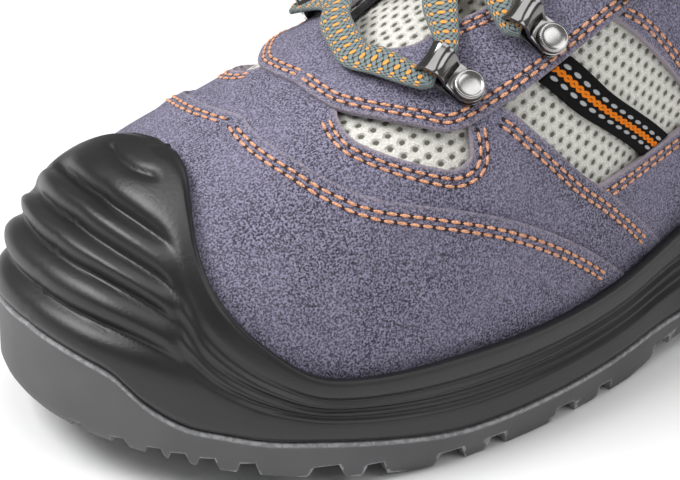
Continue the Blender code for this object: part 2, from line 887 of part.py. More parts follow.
def make_quarter(side, name, material):
    """From the heel seam over the counter to the saddle, under the cuff and the eyestay."""
    low = VAMP["rise"][0]
    rows = []
    for station in (HEEL_SEAM, *HEEL_STATIONS, 0.19):
        bottom = read(COUNTER, "rise", station) + RISE_GAP
        top = cuff_line(station) - RISE_GAP
        rows.append(((station, bottom), (station, (bottom + top) / 2), (station, top)))
    for bottom, top in ((0.215, 0.215), (0.25, 0.25), (0.30, 0.30), (0.35, 0.345), (0.39, 0.38), (0.42, 0.415)):
        edge = cuff_line(top) - RISE_GAP
        rows.append(((bottom, low), ((bottom + top) / 2, (low + edge) / 2), (top, edge)))
    edges = list(zip(EYESTAY["edge_station"], EYESTAY["edge_rise"]))[::-1]
    for bottom, (station, rise) in zip(QUARTER_FEET, edges):
        top = rise - RISE_GAP
        rows.append(((bottom, low), ((bottom + station) / 2 + QUARTER_BOW, (low + top) / 2), (station, top)))
    rear = VAMP["rear"]
    rows.append(tuple((rear[k] - SEAM_GAP, VAMP["rise"][k]) for k in (0, 3, 6)))
    quarter = panel(name, (side,), rows, 6, 1, LAYER, SUEDE, material)
    window = panel(name + "_window", (side,), QUARTER_WINDOW, 6, 4, LAYER - PUNCH / 2, PUNCH + SUEDE, None)
    cut(quarter, window)
    return quarter


def make_eyestay(material):
    rows = [((row[0], row[1]), (row[2], row[3])) for row in zip(*EYESTAY.values())]
    return panel("eyestay", (OUTER, INNER), rows, 4, 1, LAYER, SUEDE_STOUT, material)


def make_counter(material):
    low = VAMP["rise"][0]
    rows = [((s, low), (s, r)) for s, r in zip(COUNTER["station"], COUNTER["rise"])]
    return panel("heel_counter", (OUTER, INNER), rows, 4, 2, LAYER, SUEDE_STOUT, material)


def make_cuff(material):
    stations = [0.0, *HEEL_STATIONS, 0.20, 0.25, 0.30, 0.335, 0.36, 0.38, 0.40, 0.415, 0.43, 0.438]
    rows = [((s, cuff_line(s)), (s, read(TOPLINE, "rise", s))) for s in stations]
    return panel("collar_cuff", (OUTER, INNER), rows, 3, 1, LAYER, CUFF_PAD, material)


def make_ribbon(side, name, material):
    return panel(name, (side,), RIBBON, 8, 2, LAYER, RIBBON_THICK, material)


def tongue_point(side, station, rise, lift):
    """A point over the foot's ridge, where the tongue is flatter than the last."""
    point = np.array(skin(side, station, rise, lift))
    if rise > TONGUE_SPRING:
        spring = skin(side, station, TONGUE_SPRING, lift)
        arch = read({"station": TONGUE["ridge_station"], "arch": TONGUE["arch"]}, "arch", station)
        point[2] = spring[2] + (point[2] - spring[2]) * arch
    return point


def make_tongue(material):
    rows = [((s, r), (top, 1.0)) for s, r, top in
            zip(TONGUE["edge_station"], TONGUE["edge_rise"], TONGUE["ridge_station"])]
    grid = fill_grid(rows, 4, 1)
    mesh = bmesh.new()
    for side in (OUTER, INNER):
        add_sheet(mesh, side, grid, -TONGUE_CLEARANCE, tongue_point)
    return close_sheet("tongue", mesh, TONGUE_THICK, material, True)


# Lace loops, rivets and lace

def loop_frame(side, station, rise):
    """A frame on the eyestay: X towards the throat, Z off the upper."""
    origin = Vector(skin(side, station, rise, STOUT_TOP + FIT))
    target = Vector(skin(side, station + 0.005, rise + 0.15, STOUT_TOP + FIT))
    normal = Vector(skin_normal(side, station, rise + 0.04))
    run = target - origin
    run = (run - normal * run.dot(normal)).normalized()
    across = normal.cross(run)
    frame = Matrix((run, across, normal)).transposed().to_4x4()
    frame.translation = origin
    return frame


LOOP_BENDS = 5


def loop_outline():
    """Middle line of the strap that is folded round to make a loop, in its own plane."""
    low = LOOP_GAUGE / 2
    centre = low + LOOP_ROLL
    flat = RIVET_RADIUS + FIT
    points = [(-flat - LOOP_GAUGE, low), (flat, low)]
    for k in range(LOOP_BENDS + 1):
        angle = -pi / 2 + pi * 1.12 * k / LOOP_BENDS
        points.append((LOOP_REACH + LOOP_ROLL * cos(angle), centre + LOOP_ROLL * sin(angle)))
    points += [(flat, low + LOOP_FOLD), (-flat - LOOP_GAUGE, low + LOOP_FOLD)]
    return points


def make_loop(name, frame, material):
    mesh = bmesh.new()
    loop = []
    for x, z in loop_outline():
        pair = [mesh.verts.new(frame @ Vector((x, y, z))) for y in (-LOOP_WIDTH / 2, LOOP_WIDTH / 2)]
        loop.append(pair)
    for a, b in zip(loop, loop[1:] + loop[:1]):
        mesh.faces.new((a[0], b[0], b[1], a[1]))
    bmesh.ops.recalc_face_normals(mesh, faces=mesh.faces)
    data = bpy.data.meshes.new(name)
    mesh.to_mesh(data)
    mesh.free()
    data.shade_smooth()
    data.set_sharp_from_angle(angle=radians(40))
    thing = new_object(name, data, material)
    wall = thing.modifiers.new("gauge", "SOLIDIFY")
    wall.thickness = LOOP_GAUGE
    wall.offset = 0.0
    wall.use_even_offset = True
    return thing


def make_rivet(name, frame, material):
    mesh = bmesh.new()
    base = LOOP_GAUGE + LOOP_FOLD + FIT
    bmesh.ops.create_cone(mesh, cap_ends=True, segments=11, radius1=RIVET_RADIUS,
                          radius2=RIVET_RADIUS * 0.78, depth=RIVET_HEIGHT)
    bmesh.ops.transform(mesh, matrix=frame @ Matrix.Translation((0, 0, base + RIVET_HEIGHT / 2)), verts=mesh.verts)
    data = bpy.data.meshes.new(name)
    mesh.to_mesh(data)
    mesh.free()
    data.shade_smooth()
    data.set_sharp_from_angle(angle=radians(30))
    return new_object(name, data, material)


LACE_STEP = 0.0086
LACE_SWING = 0.021
LACE_LEAD = 0.005
BAR_BOW = 0.012
LACE_TAIL = 0.0010
LACE_OVER = 0.0010
SECOND_SCALE = 0.94
# Height of a run of lace over the last on its way across the tongue
LACE_LIFT = table(
    "share lift",
    (0.00, 0.0072),
    (0.17, 0.0062),
    (0.33, 0.0040),
    (0.50, 0.0026),
    (0.67, 0.0040),
    (0.83, 0.0062),
    (1.00, 0.0072),
)


def lace_eye(frames, side, number, enter, leave):
    """A lace's places through a loop: point, width and which way its flat side faces.

    It comes and leaves on the front (1) or the rear (-1) of the loop, and with 0 it
    starts or stops inside.
    """
    frame = frames[side][number]
    middle = Vector((LOOP_REACH, 0.0, LOOP_GAUGE / 2 + LOOP_ROLL))
    front = 1.0 if (frame.to_3x3() @ Vector((0, 1, 0))).x > 0 else -1.0
    up = frame.to_3x3() @ Vector((0, 0, 1))

    def beside(distance, width):
        return (frame @ (middle + Vector((0.0, distance * front, 0.0))), width, up)

    if enter == 0:
        places = [beside(-leave * LACE_TAIL, LACE_PINCHED)]
    else:
        places = [beside(enter * LACE_STEP, LACE_WIDTH * 0.75), beside(enter * LACE_STEP * 0.62, LACE_PINCHED)]
    if leave == 0:
        places += [beside(-enter * LACE_TAIL, LACE_PINCHED)]
    else:
        places += [beside(leave * LACE_STEP * 0.62, LACE_PINCHED), beside(leave * LACE_STEP, LACE_WIDTH * 0.75)]
    return places


def across_tongue(start, end, share, over, bow):
    """A place on the way from one loop to another, laid over the tongue."""
    station = start[1] + (end[1] - start[1]) * share - bow * sin(pi * share)
    swing = start[0] * (1 - start[2]) + (end[0] * (1 - end[2]) - start[0] * (1 - start[2])) * share
    side = OUTER if swing >= 0 else INNER
    rise = 1 - abs(swing)
    point = Vector(tongue_point(side, station, rise, read(LACE_LIFT, "lift", share) + over * sin(pi * share)))
    return (point, LACE_WIDTH, Vector(skin_normal(side, station, min(rise, 0.99))))


def lace_route(frames, visits, over=0.0):
    """Places of a lace through its loops and over the tongue between them."""
    route = []
    for k, (side, number, enter, leave) in enumerate(visits):
        if k:
            before = visits[k - 1]
            ends = []
            bow = BAR_BOW if before[3] == enter else 0.0
            for a, n, way in ((before[0], before[1], before[3]), (side, number, enter)):
                ends.append((a, RIVETS["station"][n] + LACE_LEAD + LACE_SWING * way, RIVETS["rise"][n] + 0.15))
            route += [across_tongue(*ends, share, over, bow) for share in (0.17, 0.33, 0.5, 0.67, 0.83)]
        route += lace_eye(frames, side, number, enter, leave)
    return route


def lace_ribbon(name, route, scale=1.0, material=None):
    """A flat band along a route."""
    mesh = bmesh.new()
    points = [place[0] for place in route]
    sections = []
    for i, (point, width, up) in enumerate(route):
        run = (points[min(i + 1, len(points) - 1)] - points[max(i - 1, 0)]).normalized()
        up = (up - run * up.dot(run)).normalized()
        across = run.cross(up)
        half, thick = width * scale / 2, LACE_THICK * scale / 2
        corners = ((-half, -thick), (half, -thick), (half, thick), (-half, thick))
        sections.append([mesh.verts.new(point + across * a + up * b) for a, b in corners])
    for low, high in zip(sections, sections[1:]):
        for i in range(4):
            j = (i + 1) % 4
            mesh.faces.new((low[i], low[j], high[j], high[i]))
    mesh.faces.new(sections[0])
    mesh.faces.new(sections[-1])
    bmesh.ops.recalc_face_normals(mesh, faces=mesh.faces)
    data = bpy.data.meshes.new(name)
    mesh.to_mesh(data)
    mesh.free()
    return new_object(name, data, material)


def make_lace(frames, material):
    """Both ends of the lace, from the outer front loop up, joined where they cross."""
    count = len(RIVETS["station"])
    first = [(OUTER, 0, 0, -1)]
    second = [(OUTER, 0, 0, 1), (INNER, 0, 1, -1)]
    for k in range(1, count):
        leave = 0 if k == count - 1 else -1
        near, far = (INNER, OUTER) if k % 2 else (OUTER, INNER)
        first.append((near, k, 1, leave))
        second.append((far, k, 1, leave))
    lace = lace_ribbon("lace", lace_route(frames, first), 1.0, material)
    other = lace_ribbon("lace_second_end", lace_route(frames, second, LACE_OVER), SECOND_SCALE)
    cut(lace, other, "UNION")
    return lace


# The heel rest lies midway along the fifth bar, and the frame's origin with it
ORIGIN_X = 4.5 * BAR_PITCH


def main():
    for thing in list(bpy.data.objects):
        bpy.data.objects.remove(thing)
    bpy.context.scene.collection.children.link(parts)
    bpy.context.scene.collection.children.link(cutters)
    suede = surface_material("suede", (0.14, 0.12, 0.22), 0.9)
    textile = surface_material("mesh_textile", (0.62, 0.62, 0.55), 0.85)
    rubber = surface_material("outsole_rubber", (0.10, 0.10, 0.105), 0.75)
    foam = surface_material("midsole_foam", (0.02, 0.02, 0.022), 0.4)
    dark = surface_material("lining", (0.05, 0.05, 0.055), 0.9)
    webbing = surface_material("ribbon_webbing", (0.03, 0.03, 0.03), 0.8)
    lacing = surface_material("lace_cord", (0.22, 0.28, 0.28), 0.85)
    metal = surface_material("loop_metal", (0.45, 0.44, 0.43), 0.2, 1.0)

    make_outsole(rubber)
    make_midsole(foam)
    make_insole(dark)
    make_upper(textile)
    make_toe_panel(suede)
    make_vamp_panel(suede)
    make_quarter(OUTER, "quarter_outer", suede)
    make_quarter(INNER, "quarter_inner", suede)
    make_eyestay(suede)
    make_counter(suede)
    make_cuff(dark)
    make_ribbon(OUTER, "ribbon_outer", webbing)
    make_ribbon(INNER, "ribbon_inner", webbing)
    make_tongue(textile)
    frames = {OUTER: [], INNER: []}
    for side, name in ((OUTER, "outer"), (INNER, "inner")):
        for k, (station, rise) in enumerate(zip(RIVETS["station"], RIVETS["rise"])):
            frame = loop_frame(side, station, rise)
            frames[side].append(frame)
            make_loop("lace_loop_%s_%d" % (name, k + 1), frame, metal)
            make_rivet("rivet_%s_%d" % (name, k + 1), frame, metal)
    make_lace(frames, lacing)

    shift = Matrix.Translation((-ORIGIN_X, 0.0, 0.0))
    for thing in list(parts.objects) + list(cutters.objects):
        thing.matrix_world = shift @ thing.matrix_world


main()
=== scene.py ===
"""Looks of a low safety shoe for the left foot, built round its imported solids.

Places on the shoe are given as in the solids: a station runs from 0 at the heel to 1 at
the toe along either side of the outline, and a rise from 0 at the feather line to 1 on
the ridge. +X points from heel to toe, +Y to the outer side and +Z up, in metres.
"""
from math import cos, pi, radians, sin

import bmesh
import bpy
import numpy as np
from mathutils import Matrix, Vector
from mathutils.kdtree import KDTree


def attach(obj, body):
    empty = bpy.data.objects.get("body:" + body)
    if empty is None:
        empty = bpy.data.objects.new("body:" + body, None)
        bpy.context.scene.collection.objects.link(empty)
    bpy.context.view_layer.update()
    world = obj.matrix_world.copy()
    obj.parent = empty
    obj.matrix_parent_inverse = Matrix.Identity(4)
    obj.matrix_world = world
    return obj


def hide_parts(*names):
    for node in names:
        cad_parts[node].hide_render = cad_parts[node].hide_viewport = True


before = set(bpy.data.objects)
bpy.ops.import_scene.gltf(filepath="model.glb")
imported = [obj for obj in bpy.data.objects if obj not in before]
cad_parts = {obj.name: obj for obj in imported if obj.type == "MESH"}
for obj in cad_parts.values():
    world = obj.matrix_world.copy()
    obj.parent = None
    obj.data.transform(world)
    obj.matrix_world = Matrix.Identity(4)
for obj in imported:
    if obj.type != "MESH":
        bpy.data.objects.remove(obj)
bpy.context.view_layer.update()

bl_info = {
    "name": "Safety Shoe Looks",
    "version": (1, 0, 0),
    "blender": (4, 5, 0),
    "location": "View3D > Sidebar > Shoe",
    "description": "Surfaces, seams and finishes of a low safety shoe round its solids",
    "category": "Mesh",
}

OUTER = 1
INNER = -1

# The shoe's own sizes, as its solids have them
LENGTH = 0.302
BALL_WIDTH = 0.1105
HEEL_HEIGHT = 0.030
INSTEP_RISE = 0.083
FEATHER_INSET = 0.0075
TOE_INSET = 0.010
TOE_SPRING = 0.0122
HEEL_BEVEL = 0.003
ARCH_LIFT = 0.0045
TOE_WALL = 0.0345
CUFF_PINCH = 0.10
FIT = 0.0003
CHORD = 0.0004
SHELL_WALL = 0.0020
SUEDE = 0.0014
SUEDE_STOUT = 0.0019
BOWL_CLEARANCE = 0.0012
LIP = 0.0022
CUFF_PAD = 0.0036
CUFF_HEM = 0.0004
RIBBON_THICK = 0.0009
TONGUE_THICK = 0.0050
TONGUE_CLEARANCE = 0.0009
INSOLE_THICK = 0.0040
INSOLE_CLEARANCE = 0.0011
OUTSOLE_FLOOR = 0.0078
RIM_WALL = 0.0023
RIM_SLOPE = 0.0006
SOLE_EDGE = 0.0012
BORDER_GAP = 0.0003
LUG_DEPTH = 0.0032
LUG_REACH = 0.0150
LUG_CHANNEL = 0.0034
WIDE_GAP = 0.0058
NARROW_GAP = 0.0040
BAR_GAP = 0.0046
BAR_PITCH = 0.0165
RIB_DEPTH = 0.0033
RIB_CROWN = 0.0012
GROOVE_DEPTH = 0.0007
LOOP_WIDTH = 0.0080
LOOP_GAUGE = 0.0009
LOOP_REACH = 0.0090
LOOP_ROLL = 0.0029
LOOP_FOLD = 0.0017
RIVET_RADIUS = 0.0037
LACE_WIDTH = 0.0084
LACE_PINCHED = 0.0038
LACE_THICK = 0.0018
SEAM_GAP = 0.0012
UNDERLAP = 0.004
RISE_UNDERLAP = 0.008
HEEL_SEAM = 0.001
QUARTER_BOW = 0.010
OVERLAP = 0.0006
OVERLAP_FLAT = 0.0035
OVERLAP_REACH = 0.0080
LAYER = SHELL_WALL + FIT + CHORD
STOUT_TOP = LAYER + SUEDE_STOUT
BOWL = STOUT_TOP + BOWL_CLEARANCE
ORIGIN_X = 4.5 * BAR_PITCH
SHIFT = Matrix.Translation((-ORIGIN_X, 0.0, 0.0))


def table(columns, *rows):
    """Name the columns of a short table of shares."""
    names = columns.split()
    return {name: np.array([row[i] for row in rows], float) for i, name in enumerate(names)}


OUTLINE = table(
    "along outer inner",
    (0.00, 0.344, 0.344), (0.12, 0.371, 0.371), (0.30, 0.362, 0.326), (0.45, 0.371, 0.308),
    (0.56, 0.452, 0.350), (0.66, 0.502, 0.433), (0.76, 0.511, 0.482), (0.86, 0.511, 0.489),
    (1.00, 0.511, 0.489),
)
SWAY = table(
    "along sole ridge",
    (0.00, 0.000, 0.000), (0.40, 0.000, 0.000), (0.55, 0.000, 0.036), (0.70, 0.000, 0.045),
    (0.78, 0.000, 0.032), (0.88, -0.012, -0.009), (1.00, -0.032, -0.036),
)
LAST = table(
    "along board ridge square",
    (0.00, 1.000, 2.11, 2.20), (0.10, 0.970, 2.06, 2.20), (0.20, 0.940, 1.92, 2.20),
    (0.30, 0.900, 1.67, 2.19), (0.40, 0.815, 1.43, 2.17), (0.50, 0.720, 1.21, 2.15),
    (0.60, 0.650, 1.00, 2.18), (0.70, 0.617, 0.82, 2.24), (0.80, 0.667, 0.625, 2.35),
    (0.88, 0.750, 0.490, 2.55), (0.94, 0.850, 0.400, 2.63), (1.00, 0.950, 0.290, 2.70),
)
GROUND = table(
    "along heel arch toe",
    (0.00, 1.0, 0.0, 0.00), (0.06, 0.1, 0.0, 0.00), (0.10, 0.0, 0.0, 0.00), (0.34, 0.0, 0.0, 0.00),
    (0.38, 0.0, 1.0, 0.00), (0.47, 0.0, 0.7, 0.00), (0.54, 0.0, 0.0, 0.00), (0.73, 0.0, 0.0, 0.00),
    (0.80, 0.0, 0.0, 0.14), (0.88, 0.0, 0.0, 0.40), (0.95, 0.0, 0.0, 0.72), (1.00, 0.0, 0.0, 1.00),
)
BORDER = table(
    "station height",
    (0.00, 0.32), (0.20, 0.30), (0.50, 0.304), (0.55, 0.260), (0.60, 0.246), (0.65, 0.246),
    (0.70, 0.319), (0.74, 0.377), (0.78, 0.420), (0.81, 0.478), (0.84, 0.536), (0.87, 0.667),
    (0.90, 0.855), (0.93, 0.928), (0.96, 0.971), (1.00, 1.000),
)
LIP_LINE = table(
    "station rise",
    (0.000, 0.056), (0.300, 0.056), (0.478, 0.060), (0.550, 0.052), (0.650, 0.066), (0.730, 0.064),
    (0.750, 0.078), (0.770, 0.125), (0.795, 0.213), (0.818, 0.338), (0.835, 0.500), (0.845, 0.640),
    (0.858, 0.770), (0.880, 0.850), (0.920, 0.910), (1.000, 0.945),
)
TOPLINE = table(
    "station rise cuff",
    (0.000, 0.235, 0.176), (0.100, 0.233, 0.174), (0.200, 0.220, 0.163), (0.300, 0.222, 0.165),
    (0.360, 0.268, 0.204), (0.400, 0.350, 0.275), (0.430, 0.460, 0.375), (0.447, 0.585, 0.450),
)
EYESTAY = table(
    "throat_station throat_rise edge_station edge_rise",
    (0.652, 1.000, 0.694, 1.000), (0.650, 0.945, 0.692, 0.916), (0.643, 0.895, 0.686, 0.830),
    (0.632, 0.850, 0.669, 0.723), (0.619, 0.830, 0.651, 0.634), (0.606, 0.815, 0.632, 0.562),
    (0.590, 0.788, 0.601, 0.541), (0.562, 0.741, 0.566, 0.530), (0.530, 0.697, 0.531, 0.515),
    (0.499, 0.653, 0.499, 0.492), (0.469, 0.609, 0.469, 0.460), (0.447, 0.585, 0.443, 0.433),
)
VAMP = table(
    "rise rear seam",
    (0.030, 0.488, 0.520), (0.088, 0.505, 0.540), (0.188, 0.533, 0.573), (0.288, 0.559, 0.607),
    (0.413, 0.582, 0.653), (0.500, 0.595, 0.684), (0.530, 0.600, 0.692), (0.548, 0.618, 0.697),
    (0.572, 0.638, 0.702), (0.638, 0.656, 0.716), (0.730, 0.674, 0.732), (0.840, 0.691, 0.752),
    (0.930, 0.696, 0.767), (1.000, 0.698, 0.780),
)
VAMP_WINDOW = (
    ((0.685, 0.852), (0.688, 0.815)),
    ((0.671, 0.762), (0.689, 0.755)),
    ((0.660, 0.704), (0.685, 0.690)),
    ((0.646, 0.645), (0.669, 0.592)),
    ((0.634, 0.598), (0.650, 0.512)),
    ((0.626, 0.572), (0.637, 0.474)),
    ((0.6235, 0.558), (0.6265, 0.480)),
)
QUARTER_WINDOW = (
    ((0.462, 0.192), (0.538, 0.600)),
    ((0.569, 0.244), (0.646, 0.620)),
)
RIBBON = (
    ((0.486, 0.206), (0.528, 0.372), (0.553, 0.524)),
    ((0.508, 0.214), (0.550, 0.378), (0.575, 0.528)),
)
COUNTER = table(
    "station rise",
    (0.000, 0.150), (0.080, 0.147), (0.140, 0.125), (0.180, 0.085), (0.205, 0.040),
)
TONGUE = table(
    "edge_station edge_rise ridge_station arch",
    (0.421, 0.640, 0.452, 0.52), (0.423, 0.590, 0.457, 0.53), (0.430, 0.560, 0.463, 0.56),
    (0.442, 0.545, 0.472, 0.62), (0.470, 0.555, 0.490, 0.76), (0.520, 0.600, 0.525, 0.95),
    (0.580, 0.690, 0.580, 1.00), (0.630, 0.790, 0.630, 1.00), (0.660, 0.860, 0.660, 1.00),
    (0.690, 0.900, 0.690, 1.00),
)
TONGUE_SPRING = 0.68
RIVETS = table(
    "station rise",
    (0.618, 0.630), (0.565, 0.592), (0.512, 0.554), (0.467, 0.512),
)
# Steps up the side of the midsole, from the border to the lip: how far each stands proud
SIDE_STEPS = table(
    "up proud",
    (0.00, -0.4), (0.05, 0.6), (0.11, 1.0), (0.16, 1.1), (0.22, 1.1), (0.27, 1.0), (0.33, 0.6),
    (0.39, -0.8), (0.45, 0.5), (0.51, -0.8), (0.58, 0.5), (0.66, -0.8), (0.76, 0.3), (0.88, 0.4),
    (1.00, 0.0),
)
# Rises of the bumper's valleys from the side of the toe to its tip
VALLEYS = table(
    "station dent first second third fourth",
    (0.78, 0.480, 0.210, 0.080, 0.050, 0.020),
    (0.82, 0.580, 0.330, 0.170, 0.108, 0.055),
    (0.86, 0.655, 0.430, 0.295, 0.203, 0.098),
    (0.90, 0.735, 0.530, 0.392, 0.279, 0.150),
    (0.95, 0.785, 0.610, 0.468, 0.345, 0.188),
    (1.00, 0.800, 0.655, 0.515, 0.375, 0.213),
)
# Stations between which a valley fades in, and its depth and width against the others
VALLEY_FADE = {
    "dent": (0.890, 0.930, 0.4, 0.55),
    "first": (0.845, 0.885, 1.0, 1.0),
    "second": (0.815, 0.870, 1.0, 1.0),
    "third": (0.800, 0.860, 1.0, 1.0),
    "fourth": (0.800, 0.860, 1.0, 1.0),
}
VALLEY_WIDTH = 0.0026
TIP_ROUND = 0.03
BUMPER_GIRTH = 0.078
# Soft troughs and ridges: side, station, rise, turn in degrees, length, width and depth in mm
CREASE_GIRTH = 95
CREASES = (
    (OUTER, 0.700, 0.80, 15, 26, 5.0, -0.45),
    (OUTER, 0.735, 0.62, 35, 30, 6.0, 0.35),
    (OUTER, 0.640, 0.42, -20, 22, 5.0, -0.30),
    (INNER, 0.690, 0.78, 20, 24, 5.0, -0.40),
    (INNER, 0.640, 0.50, -20, 26, 6.0, -0.30),
    (OUTER, 0.560, 0.30, 60, 24, 6.0, -0.35),
    (INNER, 0.550, 0.32, 60, 24, 6.0, -0.35),
    (OUTER, 0.380, 0.16, 10, 30, 7.0, -0.5),
    (INNER, 0.380, 0.16, 10, 30, 7.0, -0.5),
    (OUTER, 0.200, 0.10, 80, 22, 7.0, -0.35),
    (INNER, 0.220, 0.11, 80, 22, 7.0, -0.35),
)
OUTER_TOE = (0.29, 2.1)
INNER_TOE = (0.20, 2.2)
HEEL_ROUND = (0.13, 2.2)
TOE_FAN = (0.77, 0.865)
HEEL_FAN = (0.10, 0.16)
CUFF_REACH = 0.50


# The last's own form, as the solids have it

def curve(t, start, leave, end, arrive):
    """A smooth curve from start to end, with its slopes there."""
    return ((2 * t**3 - 3 * t**2 + 1) * start + (t**3 - 2 * t**2 + t) * leave
            + (3 * t**2 - 2 * t**3) * end + (t**3 - t**2) * arrive)


def neighbours(count):
    """The places before and after each of a row of knots, held at its ends."""
    knots = np.arange(count)
    return np.maximum(knots - 1, 0), np.minimum(knots + 1, count - 1)


def unit(vectors):
    return vectors / np.linalg.norm(vectors, axis=-1, keepdims=True)


def lengths_along(points):
    """Distance along a line of points to each of them."""
    return np.concatenate([[0], np.cumsum(np.linalg.norm(np.diff(points, axis=0), axis=1))])


def read(rows, name, place):
    """Read a column along a smooth curve, at places in the table's first column."""
    xs, ys = rows[next(iter(rows))], rows[name]
    place = np.clip(place, xs[0], xs[-1])
    i = np.clip(np.searchsorted(xs, place, side="right") - 1, 0, len(xs) - 2)
    low, high = neighbours(len(xs))
    slope = (ys[high] - ys[low]) / (xs[high] - xs[low])
    width = xs[i + 1] - xs[i]
    return curve((place - xs[i]) / width, ys[i], slope[i] * width, ys[i + 1], slope[i + 1] * width)


def blend(low, high, x):
    t = np.clip((x - low) / (high - low), 0.0, 1.0)
    return t * t * (3 - 2 * t)


def along(station):
    return (1 - np.cos(pi * station)) / 2


def station_at(share):
    return np.arccos(1 - 2 * share) / pi


def rounded(reach, power):
    return np.clip(1 - np.clip(1 - reach, 0, 1) ** power, 0, 1) ** (1 / power)


def outline_point(side, station):
    share = along(station)
    outer = side > 0
    width = np.where(outer, read(OUTLINE, "outer", share), read(OUTLINE, "inner", share))
    toe = np.where(outer, rounded((1 - share) / OUTER_TOE[0], OUTER_TOE[1]),
                   rounded((1 - share) / INNER_TOE[0], INNER_TOE[1]))
    width = width * toe * rounded(share / HEEL_ROUND[0], HEEL_ROUND[1])
    return np.stack([share * LENGTH, (read(SWAY, "sole", share) + side * width) * BALL_WIDTH], -1)


def outline(side, station, inset=0.0):
    """Points of the sole's outline, moved inwards along its normal."""
    side, station, inset = np.broadcast_arrays(np.asarray(side, float), np.asarray(station, float), inset)
    step = 1e-3
    ahead, behind = np.minimum(station + step, 1), np.maximum(station - step, 0)
    run = unit(outline_point(side, ahead) - outline_point(side, behind))
    outward = np.stack([-run[..., 1], run[..., 0]], -1) * side[..., None]
    outward = np.where((station <= 0)[..., None], np.array([-1.0, 0.0]), outward)
    outward = np.where((station >= 1)[..., None], np.array([1.0, 0.0]), outward)
    return outline_point(side, station) - outward * inset[..., None]


def ground(x):
    share = np.asarray(x) / LENGTH
    return sum(rise * np.maximum(read(GROUND, name, share), 0.0) for name, rise in
               (("heel", HEEL_BEVEL), ("arch", ARCH_LIFT), ("toe", TOE_SPRING)))


def board(x):
    return HEEL_HEIGHT * read(LAST, "board", np.asarray(x) / LENGTH)


def border(station):
    return TOE_WALL * read(BORDER, "height", station)


def feather_inset(station):
    return FEATHER_INSET + (TOE_INSET - FEATHER_INSET) * blend(0.80, 1.0, along(station))


def ridge_share(station):
    share = (FEATHER_INSET + along(station) * (LENGTH - FEATHER_INSET - TOE_INSET)) / LENGTH
    reach = np.clip((share - TOE_FAN[0]) / (1 - TOE_FAN[0]), 0, 1)
    share = np.where(share > TOE_FAN[0], TOE_FAN[0] + (TOE_FAN[1] - TOE_FAN[0]) * reach**0.9, share)
    heel = HEEL_FAN[0] + (HEEL_FAN[1] - HEEL_FAN[0]) * share / HEEL_FAN[1]
    return np.where(share < HEEL_FAN[1], heel, share)


def last_point(side, station, rise):
    foot = outline(side, station, feather_inset(station))
    low = board(foot[..., 0])
    top = ridge_share(station) * LENGTH
    square = read(LAST, "square", foot[..., 0] / LENGTH)
    angle = rise * pi / 2
    out = np.clip(np.cos(angle), 0, 1) ** (2 / square)
    up = np.clip(np.sin(angle), 0, 1) ** (2 / square)
    spread = out * (1 - CUFF_PINCH * blend(0.08, 0.45, up) * (1 - blend(0.30, CUFF_REACH, along(station))))
    x = top + (foot[..., 0] - top) * spread
    across = read(SWAY, "ridge", x / LENGTH) * BALL_WIDTH
    y = across + (foot[..., 1] - across) * spread
    height = board(x) + INSTEP_RISE * read(LAST, "ridge", x / LENGTH)
    return np.stack([x, y, low + (height - low) * up], -1)


def spread_out(*values):
    return [np.array(v) for v in np.broadcast_arrays(*[np.asarray(v, float) for v in values])]


def skin_normal(side, station, rise):
    """Outward directions, read a little short of the poles and of the ridge."""
    side, station, rise = spread_out(side, station, rise)
    step = 2e-3
    station = np.clip(station, 2 * step, 1 - 10 * step)
    rise = np.minimum(rise, 1 - 5 * step)
    run = last_point(side, station + step, rise) - last_point(side, station - step, rise)
    climb = last_point(side, station, rise + step) - last_point(side, station, np.maximum(rise - step, 0))
    return unit(np.cross(run, climb) * -side[..., None])


def middle_normal(side, station, rise):
    """As skin_normal, but in the shoe's middle plane where its two sides meet."""
    side, station, rise = spread_out(side, station, rise)
    normal = skin_normal(side, station, rise)
    meet = (rise >= 1) | (station <= 0) | (station >= 1)
    return np.where(meet[..., None], (normal + skin_normal(-side, station, rise)) / 2, normal)


def relief(side, station, rise):
    """Height of the soft creases over the last."""
    total = np.zeros_like(station)
    for crease_side, at, up, turn, length, width, depth in CREASES:
        dx = (along(station) - along(at)) * LENGTH * 1000
        dz = (rise - up) * CREASE_GIRTH
        a = dx * cos(radians(turn)) + dz * sin(radians(turn))
        b = -dx * sin(radians(turn)) + dz * cos(radians(turn))
        near = np.exp(-(a / length) ** 2 - (b / width) ** 2)
        total = total + np.where(side == crease_side, near, 0.0) * depth / 1000
    return total * blend(0.0, 0.12, rise) * (1 - blend(0.93, 1.0, rise))


def skin(side, station, rise, lift=0.0):
    """Points of the upper's form, raised off the last by lift."""
    side, station, rise, lift = spread_out(side, station, rise, lift)
    lift = lift + relief(side, station, rise)
    return last_point(side, station, rise) + middle_normal(side, station, rise) * lift[..., None]


def tongue_form(side, station, rise, lift=0.0):
    """Points over the foot's ridge, where the tongue is flatter than the last."""
    side, station, rise, lift = spread_out(side, station, rise, lift)
    point = skin(side, station, rise, lift)
    spring = skin(side, station, TONGUE_SPRING, lift)[..., 2]
    arch = read({"station": TONGUE["ridge_station"], "arch": TONGUE["arch"]}, "arch", station)
    over = rise > TONGUE_SPRING
    point[..., 2] = np.where(over, spring + (point[..., 2] - spring) * arch, point[..., 2])
    return point


def lip_rise(station):
    return read(LIP_LINE, "rise", station)


# Mesh tools

def resample(points, count):
    """Spread count + 1 places evenly along the first axis of an array, on smooth curves."""
    points = np.asarray(points, float)
    n = len(points)
    low, high = neighbours(n)
    others = (1,) * (points.ndim - 1)
    slope = (points[high] - points[low]) / (high - low).reshape((n,) + others)
    place = np.linspace(0, n - 1, count + 1)
    i = np.minimum(place.astype(int), n - 2)
    t = (place - i).reshape((count + 1,) + others)
    return curve(t, points[i], slope[i], points[i + 1], slope[i + 1])


